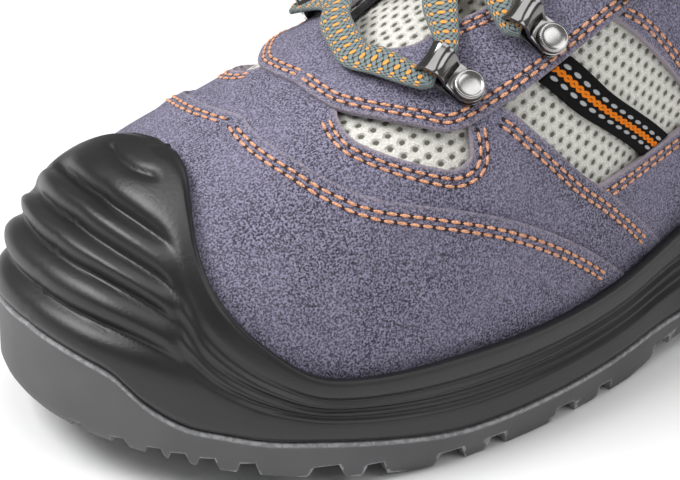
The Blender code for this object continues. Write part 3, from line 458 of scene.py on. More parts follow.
def smooth_way(points, step):
    """Places a step apart on a smooth curve through points whose first three values are a place."""
    knots = lengths_along(points[:, :3])
    low, high = neighbours(len(knots))
    slope = (points[high] - points[low]) / (knots[high] - knots[low])[:, None]
    place = np.linspace(0, knots[-1], int(knots[-1] / step) + 1)
    i = np.clip(np.searchsorted(knots, place, side="right") - 1, 0, len(knots) - 2)
    width = (knots[i + 1] - knots[i])[:, None]
    t = (place - knots[i])[:, None] / width
    return curve(t, points[i], slope[i] * width, points[i + 1], slope[i + 1] * width)


def fill_grid(rows, across, long):
    """Turn rows of (station, rise) pairs into a finer grid of them."""
    fine = resample(np.swapaxes(np.asarray(rows, float), 0, 1), across)
    return resample(np.swapaxes(fine, 0, 1), long)


def lay_grid(mesh, columns, rows, points, flat=None, value=None):
    """Lay a grid over an array of points, with map places and a value where they are given."""
    if value is not None:
        edge = mesh.verts.layers.float.get("edge") or mesh.verts.layers.float.new("edge")
    if flat is not None:
        uv = mesh.loops.layers.uv.get("UVMap") or mesh.loops.layers.uv.new("UVMap")
    verts = bmesh.ops.create_grid(mesh, x_segments=columns, y_segments=rows, size=1.0)["verts"]
    corner = np.array([v.co[:2] for v in verts])
    i = np.rint((corner[:, 0] + 1) / 2 * columns).astype(int)
    j = np.rint((corner[:, 1] + 1) / 2 * rows).astype(int)
    for v, p in zip(verts, points[j, i]):
        v.co = p
    if value is not None:
        for v, e in zip(verts, value[j, i]):
            v[edge] = e
    if flat is not None:
        place = {v: tuple(p) for v, p in zip(verts, flat[j, i])}
        for face in {f for v in verts for f in v.link_faces}:
            for loop in face.loops:
                loop[uv].uv = place[loop.vert]
    return verts


def new_piece(name, mesh, material, body="root", shift=True):
    """Make an object of a bmesh in the row's frame, ride it and give it its finish."""
    data = bpy.data.meshes.new(name)
    mesh.to_mesh(data)
    mesh.free()
    if shift:
        data.transform(SHIFT)
    data.shade_smooth()
    piece = bpy.data.objects.new(name, data)
    bpy.context.scene.collection.objects.link(piece)
    for one in material if isinstance(material, (list, tuple)) else [material]:
        data.materials.append(one)
    if body:
        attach(piece, body)
    return piece


def weld(mesh, distance=2e-5):
    bmesh.ops.remove_doubles(mesh, verts=mesh.verts, dist=distance)
    bmesh.ops.dissolve_degenerate(mesh, edges=mesh.edges, dist=distance)
    bmesh.ops.recalc_face_normals(mesh, faces=mesh.faces)


def face_outwards(mesh):
    """Turn an open sheet on the upper's form away from the foot."""
    heart = Vector((LENGTH * 0.5, 0.0, HEEL_HEIGHT))
    facing = sum(f.normal.dot(f.calc_center_median() - heart) * f.calc_area() for f in mesh.faces)
    if facing < 0:
        bmesh.ops.reverse_faces(mesh, faces=mesh.faces)


def wall(piece, thickness, inwards=False, inner_slot=0, edge_slot=0):
    step = piece.modifiers.new("wall", "SOLIDIFY")
    step.thickness = thickness
    step.offset = -1.0 if inwards else 1.0
    step.use_even_offset = True
    step.use_quality_normals = True
    step.material_offset = inner_slot
    step.material_offset_rim = edge_slot
    return step


def soften(piece, width, segments=2, angle=40):
    step = piece.modifiers.new("soft_edge", "BEVEL")
    step.width = width
    step.segments = segments
    step.limit_method = "ANGLE"
    step.angle_limit = radians(angle)
    step.use_clamp_overlap = True
    step.harden_normals = False
    return step


def settle(piece):
    """Apply a piece's modifiers to its mesh."""
    graph = bpy.context.evaluated_depsgraph_get()
    done = bpy.data.meshes.new_from_object(piece.evaluated_get(graph))
    piece.modifiers.clear()
    old = piece.data
    piece.data = done
    bpy.data.meshes.remove(old)
    return piece


def cut(piece, cutter):
    step = piece.modifiers.new("cut", "BOOLEAN")
    step.operation = "DIFFERENCE"
    step.solver = "EXACT"
    step.use_self = True
    step.object = cutter
    settle(piece)
    bpy.data.objects.remove(cutter)
    return piece


MAP_STATIONS = np.linspace(0.0, 1.0, 121)
MAP_RISES = np.linspace(0.0, 1.0, 61)


def girths():
    """Distance up each side from the feather line, over stations and rises."""
    found = {}
    for side in (OUTER, INNER):
        s, q = np.meshgrid(MAP_STATIONS, MAP_RISES, indexing="ij")
        p = last_point(np.full_like(s, side), s, q)
        steps = np.linalg.norm(np.diff(p, axis=1), axis=-1)
        found[side] = np.concatenate([np.zeros((len(s), 1)), np.cumsum(steps, axis=1)], axis=1)
    return found


GIRTH = girths()


def cloth_map(side, station, rise):
    """Where cloth on the upper's form would lie flat: along the foot and up its side."""
    fs = np.clip(station, 0, 1) * (len(MAP_STATIONS) - 1)
    fq = np.clip(rise, 0, 1) * (len(MAP_RISES) - 1)
    i, j = np.minimum(fs.astype(int), len(MAP_STATIONS) - 2), np.minimum(fq.astype(int), len(MAP_RISES) - 2)
    a, b = fs - i, fq - j
    grid = GIRTH[side]
    up = (grid[i, j] * (1 - a) * (1 - b) + grid[i + 1, j] * a * (1 - b)
          + grid[i, j + 1] * (1 - a) * b + grid[i + 1, j + 1] * a * b)
    return np.stack([along(station) * LENGTH, up], -1)


def edge_distance(points, lines):
    """Distance from each point to the nearest of the cut edges."""
    dense = np.concatenate([np.concatenate([a + (b - a) * t for t in (0, 0.25, 0.5, 0.75)])
                            for line in lines for a, b in [(line[:-1], line[1:])]])
    tree = KDTree(len(dense))
    for i, p in enumerate(dense):
        tree.insert(p, i)
    tree.balance()
    flat = points.reshape(-1, 3)
    return np.array([tree.find(p)[2] for p in flat]).reshape(points.shape[:-1])


# Materials

def feed(tree, target, source):
    if isinstance(source, (int, float)):
        target.default_value = source
    else:
        tree.links.new(target, source)


def maths(tree, operation, *values):
    made = tree.nodes.new("ShaderNodeMath")
    made.operation = operation
    for socket, value in zip(made.inputs, values):
        feed(tree, socket, value)
    return made.outputs[0]


def centred(tree, value):
    """Where a value lies in its whole step, from -0.5 to 0.5."""
    return maths(tree, "SUBTRACT", maths(tree, "FRACT", value), 0.5)


def mixed(tree, share, low, high):
    made = tree.nodes.new("ShaderNodeMix")
    made.data_type = "RGBA"
    feed(tree, made.inputs[0], share)
    for socket, value in ((made.inputs[6], low), (made.inputs[7], high)):
        if isinstance(value, tuple):
            socket.default_value = (*value, 1.0)
        else:
            tree.links.new(socket, value)
    return made.outputs[2]


def noise(tree, coords, scale, detail=2.0, roughness=0.5):
    made = tree.nodes.new("ShaderNodeTexNoise")
    made.inputs["Scale"].default_value = scale
    made.inputs["Detail"].default_value = detail
    made.inputs["Roughness"].default_value = roughness
    tree.links.new(made.inputs["Vector"], coords)
    return made.outputs["Fac"]


def ramp(tree, source, low, high):
    """Clip a value from low to high into 0 to 1, smoothly."""
    made = tree.nodes.new("ShaderNodeMapRange")
    made.interpolation_type = "SMOOTHSTEP"
    made.inputs["From Min"].default_value = low
    made.inputs["From Max"].default_value = high
    tree.links.new(made.inputs["Value"], source)
    return made.outputs["Result"]


def bump(tree, height, distance, strength):
    made = tree.nodes.new("ShaderNodeBump")
    made.inputs["Strength"].default_value = strength
    made.inputs["Distance"].default_value = distance
    tree.links.new(made.inputs["Height"], height)
    return made.outputs["Normal"]


def surface(tree, shader, base, height, depth, strength):
    """Give a finish its colour and its relief."""
    tree.links.new(shader.inputs["Base Color"], base)
    tree.links.new(shader.inputs["Normal"], bump(tree, height, depth, strength))


def shade(colour, share):
    return tuple(min(1.0, c * share) for c in colour)


def mottled(tree, source, low, high, colour, dark, pale):
    """A colour that a noise takes from a darker to a paler shade of it."""
    return mixed(tree, ramp(tree, source, low, high), shade(colour, dark), shade(colour, pale))


def blank(name, colour, roughness, metallic=0.0):
    material = bpy.data.materials.new(name)
    material.use_nodes = True
    tree = material.node_tree
    shader = tree.nodes["Principled BSDF"]
    shader.inputs["Base Color"].default_value = (*colour, 1.0)
    shader.inputs["Roughness"].default_value = roughness
    shader.inputs["Metallic"].default_value = metallic
    material.diffuse_color = (*colour, 1.0)
    return material, tree, shader


def object_coords(tree):
    return tree.nodes.new("ShaderNodeTexCoord").outputs["Object"]


def from_edge(tree):
    """Distance from a piece's edge, as its own mesh says."""
    edge = tree.nodes.new("ShaderNodeAttribute")
    edge.attribute_name = "edge"
    return edge.outputs["Fac"]


def map_parts(tree, turn=0.0):
    """The piece's own map, turned, as two separate lengths in metres."""
    source = tree.nodes.new("ShaderNodeUVMap")
    source.uv_map = "UVMap"
    mapping = tree.nodes.new("ShaderNodeMapping")
    mapping.inputs["Rotation"].default_value = (0.0, 0.0, radians(turn))
    tree.links.new(mapping.inputs["Vector"], source.outputs["UV"])
    parts = tree.nodes.new("ShaderNodeSeparateXYZ")
    tree.links.new(parts.inputs[0], mapping.outputs["Vector"])
    return parts.outputs[0], parts.outputs[1], mapping.outputs["Vector"]


def suede_material(name, colour, worn):
    """Fine nap with a lighter worn line along the cut edges."""
    material, tree, shader = blank(name, colour, 0.95)
    coords = object_coords(tree)
    nap = noise(tree, coords, 2100.0, 2.0, 0.6)
    tuft = noise(tree, coords, 620.0, 3.0, 0.65)
    cloud = noise(tree, coords, 45.0, 2.0, 0.5)
    base = mottled(tree, nap, 0.38, 0.64, colour, 0.28, 2.3)
    base = mixed(tree, maths(tree, "MULTIPLY", ramp(tree, tuft, 0.40, 0.62), 0.25), base, colour)
    worn_thin = maths(tree, "MULTIPLY", ramp(tree, cloud, 0.35, 0.7), 0.22)
    base = mixed(tree, worn_thin, base, shade(colour, 2.3))
    ragged = maths(tree, "MULTIPLY_ADD", tuft, 0.0012, from_edge(tree))
    line = maths(tree, "SUBTRACT", 1.0, ramp(tree, ragged, 0.0005, 0.0019))
    base = mixed(tree, maths(tree, "MULTIPLY", line, 0.9), base, worn)
    surface(tree, shader, base, maths(tree, "MULTIPLY", maths(tree, "ADD", nap, tuft), 0.6), 0.0006, 0.8)
    shader.inputs["Specular IOR Level"].default_value = 0.15
    shader.inputs["Sheen Weight"].default_value = 0.12
    shader.inputs["Sheen Roughness"].default_value = 0.5
    shader.inputs["Sheen Tint"].default_value = (0.80, 0.78, 0.85, 1.0)
    return material


MESH_PITCH = 0.0034
MESH_TURN = 18.0


def mesh_material(name, colour, hole):
    """Open knitted mesh: oval holes in staggered rows between raised yarns; the holes are coloured as the
    backing with painted shade in the hollow.
    """
    material, tree, shader = blank(name, colour, 0.85)
    u, v, place = map_parts(tree, MESH_TURN)
    row = maths(tree, "DIVIDE", v, MESH_PITCH * 0.82)
    odd = maths(tree, "MODULO", maths(tree, "ABSOLUTE", maths(tree, "FLOOR", row)), 2.0)
    column = maths(tree, "MULTIPLY_ADD", odd, 0.5, maths(tree, "DIVIDE", u, MESH_PITCH))
    a2 = maths(tree, "POWER", centred(tree, column), 2.0)
    b2 = maths(tree, "POWER", maths(tree, "MULTIPLY", centred(tree, row), 1.12), 2.0)
    fuzz = noise(tree, place, 1800.0, 3.0, 0.7)
    reach = maths(tree, "ADD", maths(tree, "SQRT", maths(tree, "ADD", a2, b2)),
                  maths(tree, "MULTIPLY", maths(tree, "SUBTRACT", fuzz, 0.5), 0.16))
    open_share = maths(tree, "SUBTRACT", 1.0, ramp(tree, reach, 0.18, 0.28))
    yarn = mottled(tree, fuzz, 0.35, 0.7, colour, 0.72, 1.0)
    height = maths(tree, "MULTIPLY_ADD", fuzz, 0.5, ramp(tree, reach, 0.18, 0.46))
    # Painted shade: the holes take a dark colour for the backing and the shaded hollow in front of it
    surface(tree, shader, mixed(tree, open_share, yarn, hole), height, 0.0006, 0.9)
    shader.inputs["Specular IOR Level"].default_value = 0.2
    shader.inputs["Sheen Weight"].default_value = 0.15
    return material


def rubber_material(name, colour, roughness):
    """Half-gloss moulded rubber, a little smeared."""
    material, tree, shader = blank(name, colour, roughness)
    coords = object_coords(tree)
    fine = noise(tree, coords, 900.0, 3.0, 0.6)
    broad = noise(tree, coords, 38.0, 3.0, 0.55)
    surface(tree, shader, mottled(tree, broad, 0.35, 0.7, colour, 0.8, 1.25), fine, 0.00010, 0.6)
    rough = maths(tree, "MULTIPLY_ADD", broad, 0.18, roughness - 0.09)
    tree.links.new(shader.inputs["Roughness"], rough)
    shader.inputs["Specular IOR Level"].default_value = 0.50
    return material


def outsole_material(name, colour, roughness):
    """Matt rubber with a paler rough line where the mould parted, along its top edge."""
    material, tree, shader = blank(name, colour, roughness)
    coords = object_coords(tree)
    fine = noise(tree, coords, 1100.0, 3.0, 0.6)
    broad = noise(tree, coords, 30.0, 2.0, 0.5)
    base = mottled(tree, broad, 0.3, 0.7, colour, 0.88, 1.12)
    line = maths(tree, "SUBTRACT", 1.0, ramp(tree, from_edge(tree), 0.0006, 0.0016))
    fleck = ramp(tree, noise(tree, coords, 700.0, 2.0, 0.7), 0.42, 0.62)
    line = maths(tree, "MULTIPLY", line, maths(tree, "MULTIPLY_ADD", fleck, 0.6, 0.5))
    surface(tree, shader, mixed(tree, line, base, shade(colour, 3.0)), fine, 0.00012, 0.6)
    shader.inputs["Specular IOR Level"].default_value = 0.35
    return material


def thread_material(name, colour):
    material, tree, shader = blank(name, colour, 0.55)
    coords = object_coords(tree)
    strand = noise(tree, coords, 2600.0, 2.0, 0.5)
    # Painted highlight and shade: a noise mixes a darker and a paler copy of the thread colour, standing in
    # for light on the strands
    painted_highlight = tuple(min(1.0, c * 1.2 + 0.10) for c in colour)
    base = mixed(tree, ramp(tree, strand, 0.35, 0.65), shade(colour, 0.6), painted_highlight)
    surface(tree, shader, base, strand, 0.0002, 0.6)
    shader.inputs["Sheen Weight"].default_value = 0.2
    return material


def braid_material(name, colour, fleck, pale):
    """Flat braid: two sets of yarns on the slant, some of them in the fleck colour, with painted shade in the
    gaps between the yarns.
    """
    material, tree, shader = blank(name, colour, 0.8)
    u, v, place = map_parts(tree)
    yarn = 0.0016
    slant = maths(tree, "MULTIPLY", v, 1.4)
    rising = maths(tree, "DIVIDE", maths(tree, "ADD", u, slant), yarn)
    falling = maths(tree, "DIVIDE", maths(tree, "SUBTRACT", u, slant), yarn)
    a = maths(tree, "ABSOLUTE", centred(tree, rising))
    b = maths(tree, "ABSOLUTE", centred(tree, falling))
    beat = maths(tree, "ADD", maths(tree, "FLOOR", rising), maths(tree, "FLOOR", falling))
    odd = maths(tree, "MODULO", maths(tree, "ABSOLUTE", beat), 2.0)
    even = maths(tree, "SUBTRACT", 1.0, odd)
    wide = maths(tree, "MULTIPLY_ADD", a, odd, maths(tree, "MULTIPLY", b, even))
    long = maths(tree, "SUBTRACT", maths(tree, "ADD", a, b), wide)
    off_yarn = maths(tree, "MULTIPLY_ADD", long, 0.35, wide)
    body = maths(tree, "SUBTRACT", 1.0, ramp(tree, off_yarn, 0.34, 0.62))
    fuzz = noise(tree, place, 2600.0, 3.0, 0.7)
    strands = maths(tree, "ABSOLUTE", maths(tree, "SINE", maths(tree, "MULTIPLY", wide, 3 * pi)))
    yarns = mixed(tree, maths(tree, "MULTIPLY", fuzz, strands), colour, pale)
    # Painted shade: off the yarns the colour falls to a near-black copy of the lace colour, for the gaps
    # between them
    yarns = mixed(tree, body, shade(colour, 0.12), yarns)
    fourth = maths(tree, "MODULO", maths(tree, "ABSOLUTE", beat), 4.0)
    chosen = maths(tree, "LESS_THAN", fourth, 0.5)
    inner = maths(tree, "SUBTRACT", 1.0, ramp(tree, maths(tree, "ABSOLUTE", v), 0.0022, 0.0027))
    flecks = maths(tree, "MULTIPLY", maths(tree, "MULTIPLY", chosen, inner), ramp(tree, body, 0.15, 0.5))
    height = maths(tree, "MULTIPLY_ADD", fuzz, 0.25, body)
    surface(tree, shader, mixed(tree, flecks, yarns, fleck), height, 0.0006, 0.9)
    shader.inputs["Sheen Weight"].default_value = 0.2
    return material


def ribbon_material(name, colour, thread, dash):
    """Black tape with a braid down its middle and a row of pale dashes on each side."""
    material, tree, shader = blank(name, colour, 0.8)
    u, v, place = map_parts(tree)
    fuzz = noise(tree, place, 1900.0, 3.0, 0.7)
    cloth = mottled(tree, fuzz, 0.3, 0.7, colour, 0.4, 1.8)
    off = maths(tree, "ABSOLUTE", v)
    turns = maths(tree, "SINE", maths(tree, "MULTIPLY", u, 2 * pi / 0.0042))
    wave = maths(tree, "MULTIPLY", turns, 0.00062)
    strand = maths(tree, "MINIMUM", maths(tree, "ABSOLUTE", maths(tree, "SUBTRACT", v, wave)),
                   maths(tree, "ABSOLUTE", maths(tree, "ADD", v, wave)))
    chain = maths(tree, "SUBTRACT", 1.0, ramp(tree, strand, 0.00042, 0.00062))
    beat = centred(tree, maths(tree, "DIVIDE", u, 0.0034))
    row = maths(tree, "DIVIDE", maths(tree, "SUBTRACT", off, 0.0024), 0.00065)
    oval = maths(tree, "ADD", maths(tree, "POWER", maths(tree, "DIVIDE", beat, 0.34), 2.0),
                 maths(tree, "POWER", row, 2.0))
    dashes = maths(tree, "SUBTRACT", 1.0, ramp(tree, oval, 0.7, 1.2))
    base = mixed(tree, chain, cloth, mottled(tree, fuzz, 0.3, 0.7, thread, 0.75, 1.0))
    height = maths(tree, "MULTIPLY_ADD", fuzz, 0.4, maths(tree, "ADD", chain, dashes))
    surface(tree, shader, mixed(tree, dashes, base, dash), height, 0.0005, 0.9)
    shader.inputs["Specular IOR Level"].default_value = 0.12
    return material


def cloth_material(name, colour):
    material, tree, shader = blank(name, colour, 0.9)
    coords = object_coords(tree)
    fuzz = noise(tree, coords, 1400.0, 3.0, 0.7)
    surface(tree, shader, mottled(tree, fuzz, 0.3, 0.7, colour, 0.55, 1.6), fuzz, 0.0004, 0.8)
    shader.inputs["Sheen Weight"].default_value = 0.25
    return material


def metal_material(name, colour, roughness):
    material, tree, shader = blank(name, colour, roughness, 1.0)
    coords = object_coords(tree)
    wear = noise(tree, coords, 160.0, 3.0, 0.6)
    rough = maths(tree, "MULTIPLY_ADD", wear, 0.12, roughness - 0.05)
    tree.links.new(shader.inputs["Roughness"], rough)
    tree.links.new(shader.inputs["Base Color"], mottled(tree, wear, 0.35, 0.7, colour, 0.85, 1.0))
    return material


FINISHES = {}


def finish(key):
    """The material of a finish, made the first time that it is asked for."""
    if key not in FINISHES:
        colours = bpy.context.scene.shoe_colours
        make = {
            "suede": lambda: suede_material("suede_nap", tuple(colours.suede), tuple(colours.worn_edge)),
            "mesh": lambda: mesh_material("knitted_mesh", tuple(colours.mesh), tuple(colours.mesh_hole_shade)),
            "bumper": lambda: rubber_material("moulded_midsole", tuple(colours.midsole), 0.39),
            "outsole": lambda: outsole_material("tread_rubber", tuple(colours.outsole), 0.62),
            "thread": lambda: thread_material("seam_thread", tuple(colours.thread)),
            # Needle holes: a near-black colour, painted shadow inside each hole
            "hole": lambda: cloth_material("painted_hole_shadow", (0.020, 0.008, 0.014)),
            "lace": lambda: braid_material("lace_braid", tuple(colours.lace), (0.86, 0.38, 0.07),
                                           tuple(colours.lace_pale)),
            "ribbon": lambda: ribbon_material("ribbon_tape", (0.005, 0.005, 0.005),
                                              tuple(colours.ribbon_thread), (0.42, 0.43, 0.44)),
            "lining": lambda: cloth_material("lining_cloth", (0.035, 0.035, 0.04)),
            "cuff": lambda: cloth_material("cuff_cloth", (0.055, 0.052, 0.065)),
            "metal": lambda: metal_material("dark_nickel", tuple(colours.metal), 0.12),
            "rivet": lambda: metal_material("rivet_nickel", shade(colours.metal, 1.7), 0.22),
        }
        FINISHES[key] = make[key]()
    return FINISHES[key]


# The soles

# Stations at even shares of the way from heel to toe, crowded where the sole turns
CROWDING = table(
    "share station",
    (0.00, 0.00), (0.30, 0.34), (0.60, 0.74), (0.82, 0.88), (1.00, 1.00),
)
TOE_TUCK = 0.0022


def closed_round(side_count):
    """Sides and stations once round the outline, the first place repeated at the end."""
    t = np.linspace(0, 1, side_count + 1)
    station = read(CROWDING, "station", t)
    side = np.concatenate([np.full(side_count + 1, OUTER), np.full(side_count, INNER)])
    return side, np.concatenate([station, station[::-1][1:]])


def ring(side, station, inset, height):
    x, y = np.moveaxis(outline(side, station, inset), -1, 0)
    return np.stack([x, y, height(station, x)], -1)


def toe_share(station):
    return blend(0.76, 0.92, station)


def seat(station, x):
    return np.minimum(ground(x) + OUTSOLE_FLOOR, border(station))


def bars_sheet(mesh, stations, inset, height, across=10):
    """A sheet across the shoe from each outer station to its inner one."""
    left = outline(np.full_like(stations, OUTER), stations, inset)
    right = outline(np.full_like(stations, INNER), stations, inset)
    share = np.linspace(0, 1, across + 1)
    flat = left[:, None] + (right - left)[:, None] * share[None, :, None]
    low, far = (height(stations, end[:, 0])[:, None] for end in (left, right))
    points = np.concatenate([flat, (low + (far - low) * share[None, :])[..., None]], -1)
    lay_grid(mesh, across, len(stations) - 1, points)


# Rounded foot of the outsole: share of its tuck, and height over the ground
FOOT_STEPS = ((1.0, 0.0), (0.55, 0.0008), (0.25, 0.0022), (0.0, 0.0045))
# Bead where the mould parted: how far in, and depth below the border
BEAD_STEPS = ((-0.0001, 0.0014), (-0.0005, 0.0007), (-0.0003, 0.0001), (0.0004, 0.0), (RIM_WALL, 0.0))


def build_outsole():
    side, station = closed_round(90)
    edge = SOLE_EDGE + TOE_TUCK * toe_share(station)
    rings = [ring(side, station, edge * share, lambda s, x: ground(x) + up) for share, up in FOOT_STEPS]
    upright = FOOT_STEPS[-1][1]
    rings.append(ring(side, station, 0.0, lambda s, x: (ground(x) + upright + border(s)) / 2))
    rings += [ring(side, station, inset, lambda s, x: border(s) - down) for inset, down in BEAD_STEPS]
    rings.append(ring(side, station, RIM_WALL + RIM_SLOPE, seat))
    mesh = bmesh.new()
    points = np.stack(rings)
    top = border(station)[None, :] - points[..., 2]
    lay_grid(mesh, len(side) - 1, len(rings) - 1, points, value=np.maximum(top, 0.0))
    one_side = station[: len(station) // 2 + 1]
    bars_sheet(mesh, one_side, SOLE_EDGE + TOE_TUCK * toe_share(one_side), lambda s, x: ground(x))
    bars_sheet(mesh, one_side, RIM_WALL + RIM_SLOPE, seat)
    weld(mesh)
    piece = new_piece("outsole_tread", mesh, finish("outsole"), body=None, shift=False)
    cut(piece, lug_channel())
    cut(piece, lug_grooves())
    piece.data.transform(SHIFT)
    piece.data.shade_smooth()
    piece.data.set_sharp_from_angle(angle=radians(32))
    piece.data.materials.clear()
    piece.data.materials.append(finish("outsole"))
    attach(piece, "root")
    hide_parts("outsole")
    return piece


def lug_channel():
    """A cutter for the channel between the edge lugs and the middle bars."""
    side, station = closed_round(40)
    reach = LUG_REACH + LUG_CHANNEL
    low = lambda s, x: np.full_like(x, -LUG_DEPTH)
    high = lambda s, x: ground(x) + LUG_DEPTH
    rings = [ring(side, station, LUG_REACH, low), ring(side, station, LUG_REACH, high),
             ring(side, station, reach, high), ring(side, station, reach, low),
             ring(side, station, LUG_REACH, low)]
    mesh = bmesh.new()
    lay_grid(mesh, len(side) - 1, len(rings) - 1, np.stack(rings))
    weld(mesh)
    return new_piece("channel_cutter", mesh, [], body=None, shift=False)


PAIR_FIRST = 0.7425
PAIR_PITCH = 0.082
PAIR_SPACE = 0.032
TOE_NOTCHES = (0.943, 0.898, 0.866, 0.846, 0.824, 0.795)
HEEL_NOTCHES = (0.05,)
ARCH = (0.34, 0.49)
GAP_FLARE = 1.9
TOE_GAP = 0.0035
TOE_GAP_DEPTH = 0.0036


def lug_grooves():
    """A cutter for the flared gaps between the lugs at the edge and the bars in the middle."""
    gaps = []
    for k in range(int((PAIR_FIRST - 0.12) / PAIR_PITCH) + 1):
        first = PAIR_FIRST - k * PAIR_PITCH
        gaps += [(first, WIDE_GAP), (first - PAIR_SPACE, NARROW_GAP)]
    gaps += [(notch, TOE_GAP) for notch in TOE_NOTCHES]
    gaps += [(notch, NARROW_GAP) for notch in HEEL_NOTCHES]
    gaps = [gap for gap in gaps if not ARCH[0] < along(gap[0]) < ARCH[1]]
    margin = LUG_REACH + LUG_CHANNEL * 0.5
    mesh = bmesh.new()

    def block(centre, size, turn, flare=1.0):
        made = bmesh.ops.create_cube(mesh, size=1.0)
        for v in made["verts"]:
            if v.co.z < 0:
                v.co.y *= flare
        place = Matrix.Translation(centre) @ Matrix.Rotation(turn, 4, "Z") @ Matrix.Diagonal((*size, 1.0))
        bmesh.ops.transform(mesh, matrix=place, verts=made["verts"])

    for side in (OUTER, INNER):
        for station, width in gaps:
            toe = station >= TOE_NOTCHES[-1] - 0.005
            outer = outline(side, station, -0.003)
            inner = outline(side, station, LUG_REACH * 0.5 if toe else margin)
            run = outer - inner
            low = float(ground(outline(side, station, 0.004)[0]))
            high, low = low + (TOE_GAP_DEPTH if toe else LUG_DEPTH + 0.0004), low - 0.0015
            block((*((outer + inner) / 2), (high + low) / 2), (np.linalg.norm(run), width, high - low),
                  np.arctan2(run[1], run[0]), GAP_FLARE)
    for k in range(2, int(LENGTH / BAR_PITCH) - 1):
        x = k * BAR_PITCH
        if not ARCH[0] < x / LENGTH < ARCH[1]:
            station = station_at(x / LENGTH)
            left, right = outline(OUTER, station, margin), outline(INNER, station, margin)
            high = float(ground(x)) + LUG_DEPTH
            block((x, (left[1] + right[1]) / 2, (high - 0.004) / 2),
                  (BAR_GAP, left[1] - right[1], high + 0.004), 0.0)
    return new_piece("groove_cutter", mesh, [], body=None, shift=False)


def valley_depth(station, rise):
    """Depth of the bumper's valleys, rounded at the bottom; level where they cross the tip."""
    total = np.zeros_like(rise)
    place = 1 - (np.hypot(1 - station, TIP_ROUND) - TIP_ROUND)
    for name, (start, full, depth, width) in VALLEY_FADE.items():
        away = np.abs(rise - read(VALLEYS, name, place)) * BUMPER_GIRTH
        shape = np.exp(-(away / (VALLEY_WIDTH * width)) ** 1.4)
        total = np.maximum(total, blend(start, full, station) * depth * shape)
    return total


def wall_paths(side, station, count):
    """Ways up the outside of the midsole from the border to the lip, and their rises."""
    paths, rises = [], []
    for a, s in zip(side, station):
        lip = float(lip_rise(s))
        start = float(border(s)) + BORDER_GAP
        edge = outline(a, s)
        inset = float(feather_inset(s))
        low = float(board(outline(a, s, inset)[0]))
        heights = [start + (low - start) * k / 6 for k in range(6)]
        way = [(*edge, h, 0.0) for h in heights if h >= start or h == start]
        share = np.linspace(0, 1, 41)
        lift = inset + (BOWL + LIP - inset) * blend(0.0, 1.0, share)
        over = skin(a, s, lip * share, lift)
        for p, r in zip(over, lip * share):
            if p[2] > way[-1][2] + 1e-4 or r > lip * 0.5:
                way.append((*p, r))
        way = np.array(way)
        length = lengths_along(way[:, :3])
        at = np.linspace(0, 1, count + 1) * length[-1]
        fine = np.stack([np.interp(at, length, way[:, k]) for k in range(4)], -1)
        paths.append(fine[:, :3])
        rises.append(fine[:, 3])
    return np.stack(paths, 1), np.stack(rises, 1)


def build_midsole():
    side, station = closed_round(150)
    count = 84
    paths, rises = wall_paths(side, station, count)
    for _ in range(3):
        paths[1:-1] = (paths[:-2] + 2 * paths[1:-1] + paths[2:]) / 4
    up = np.linspace(0, 1, count + 1)[:, None]
    toe = toe_share(station)[None, :]
    grooves = read(SIDE_STEPS, "proud", np.broadcast_to(up, rises.shape)) * GROOVE_DEPTH
    ribs = -valley_depth(np.broadcast_to(station, rises.shape), rises) * RIB_DEPTH
    ease = blend(0.0, 0.04, up) * (1 - blend(0.93, 1.0, up))
    proud = (grooves * (1 - toe) + (ribs + RIB_CROWN) * toe) * ease
    normal = skin_normal(np.broadcast_to(side, rises.shape), np.broadcast_to(station, rises.shape), rises)
    outside = paths + normal * proud[..., None]
    lip = lip_rise(station)
    rim = RIM_WALL + RIM_SLOPE + BORDER_GAP
    on_seat = lambda s, x: seat(s, x) + BORDER_GAP
    rows = [ring(side, station, rim, on_seat),
            ring(side, station, RIM_WALL + BORDER_GAP, lambda s, x: border(s) + BORDER_GAP),
            ring(side, station, 0.0012, lambda s, x: border(s) + BORDER_GAP)]
    rows += list(outside)
    rows += [skin(side, station, lip * 1.012, BOWL + LIP * f) for f in (0.75, 0.4)]
    rows += [skin(side, station, lip * f, BOWL) for f in (1.008, 0.99, 0.95, 0.85, 0.7, 0.5, 0.25, 0.0)]
    floor = skin(side, station, 0.0, BOWL)
    floor[:, 2] = board(floor[:, 0]) - FIT
    rows.append(floor)
    mesh = bmesh.new()
    lay_grid(mesh, len(side) - 1, len(rows) - 1, np.stack(rows))
    weld(mesh)
    half = len(station) // 2 + 1
    bars_sheet(mesh, station[:half], rim, on_seat, 6)
    left = floor[:half]
    right = np.concatenate([floor[-1:], floor[::-1][1:half]])
    share = np.linspace(0, 1, 7)[None, :, None]
    lay_grid(mesh, 6, half - 1, left[:, None] + (right - left)[:, None] * share)
    weld(mesh)
    piece = new_piece("midsole_bumper", mesh, finish("bumper"))
    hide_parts("midsole")
    return piece


def build_insole():
    side, station = closed_round(60)
    inset = feather_inset(station) + INSOLE_CLEARANCE

    def height(extra):
        return lambda s, x: board(x) + extra

    rings = [ring(side, station, inset + extra, height(INSOLE_THICK * share))
             for extra, share in ((0.0, 0.0), (0.0002, 0.7), (0.0006, 0.92), (0.0016, 1.0))]
    mesh = bmesh.new()
    lay_grid(mesh, len(side) - 1, len(rings) - 1, np.stack(rings))
    one = station[: len(station) // 2 + 1]
    bars_sheet(mesh, one, feather_inset(one) + INSOLE_CLEARANCE, height(0.0))
    bars_sheet(mesh, one, feather_inset(one) + INSOLE_CLEARANCE + 0.0016, height(INSOLE_THICK))
    weld(mesh)
    piece = new_piece("insole_cloth", mesh, finish("lining"))
    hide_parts("insole")
    return piece


# The upper and its panels

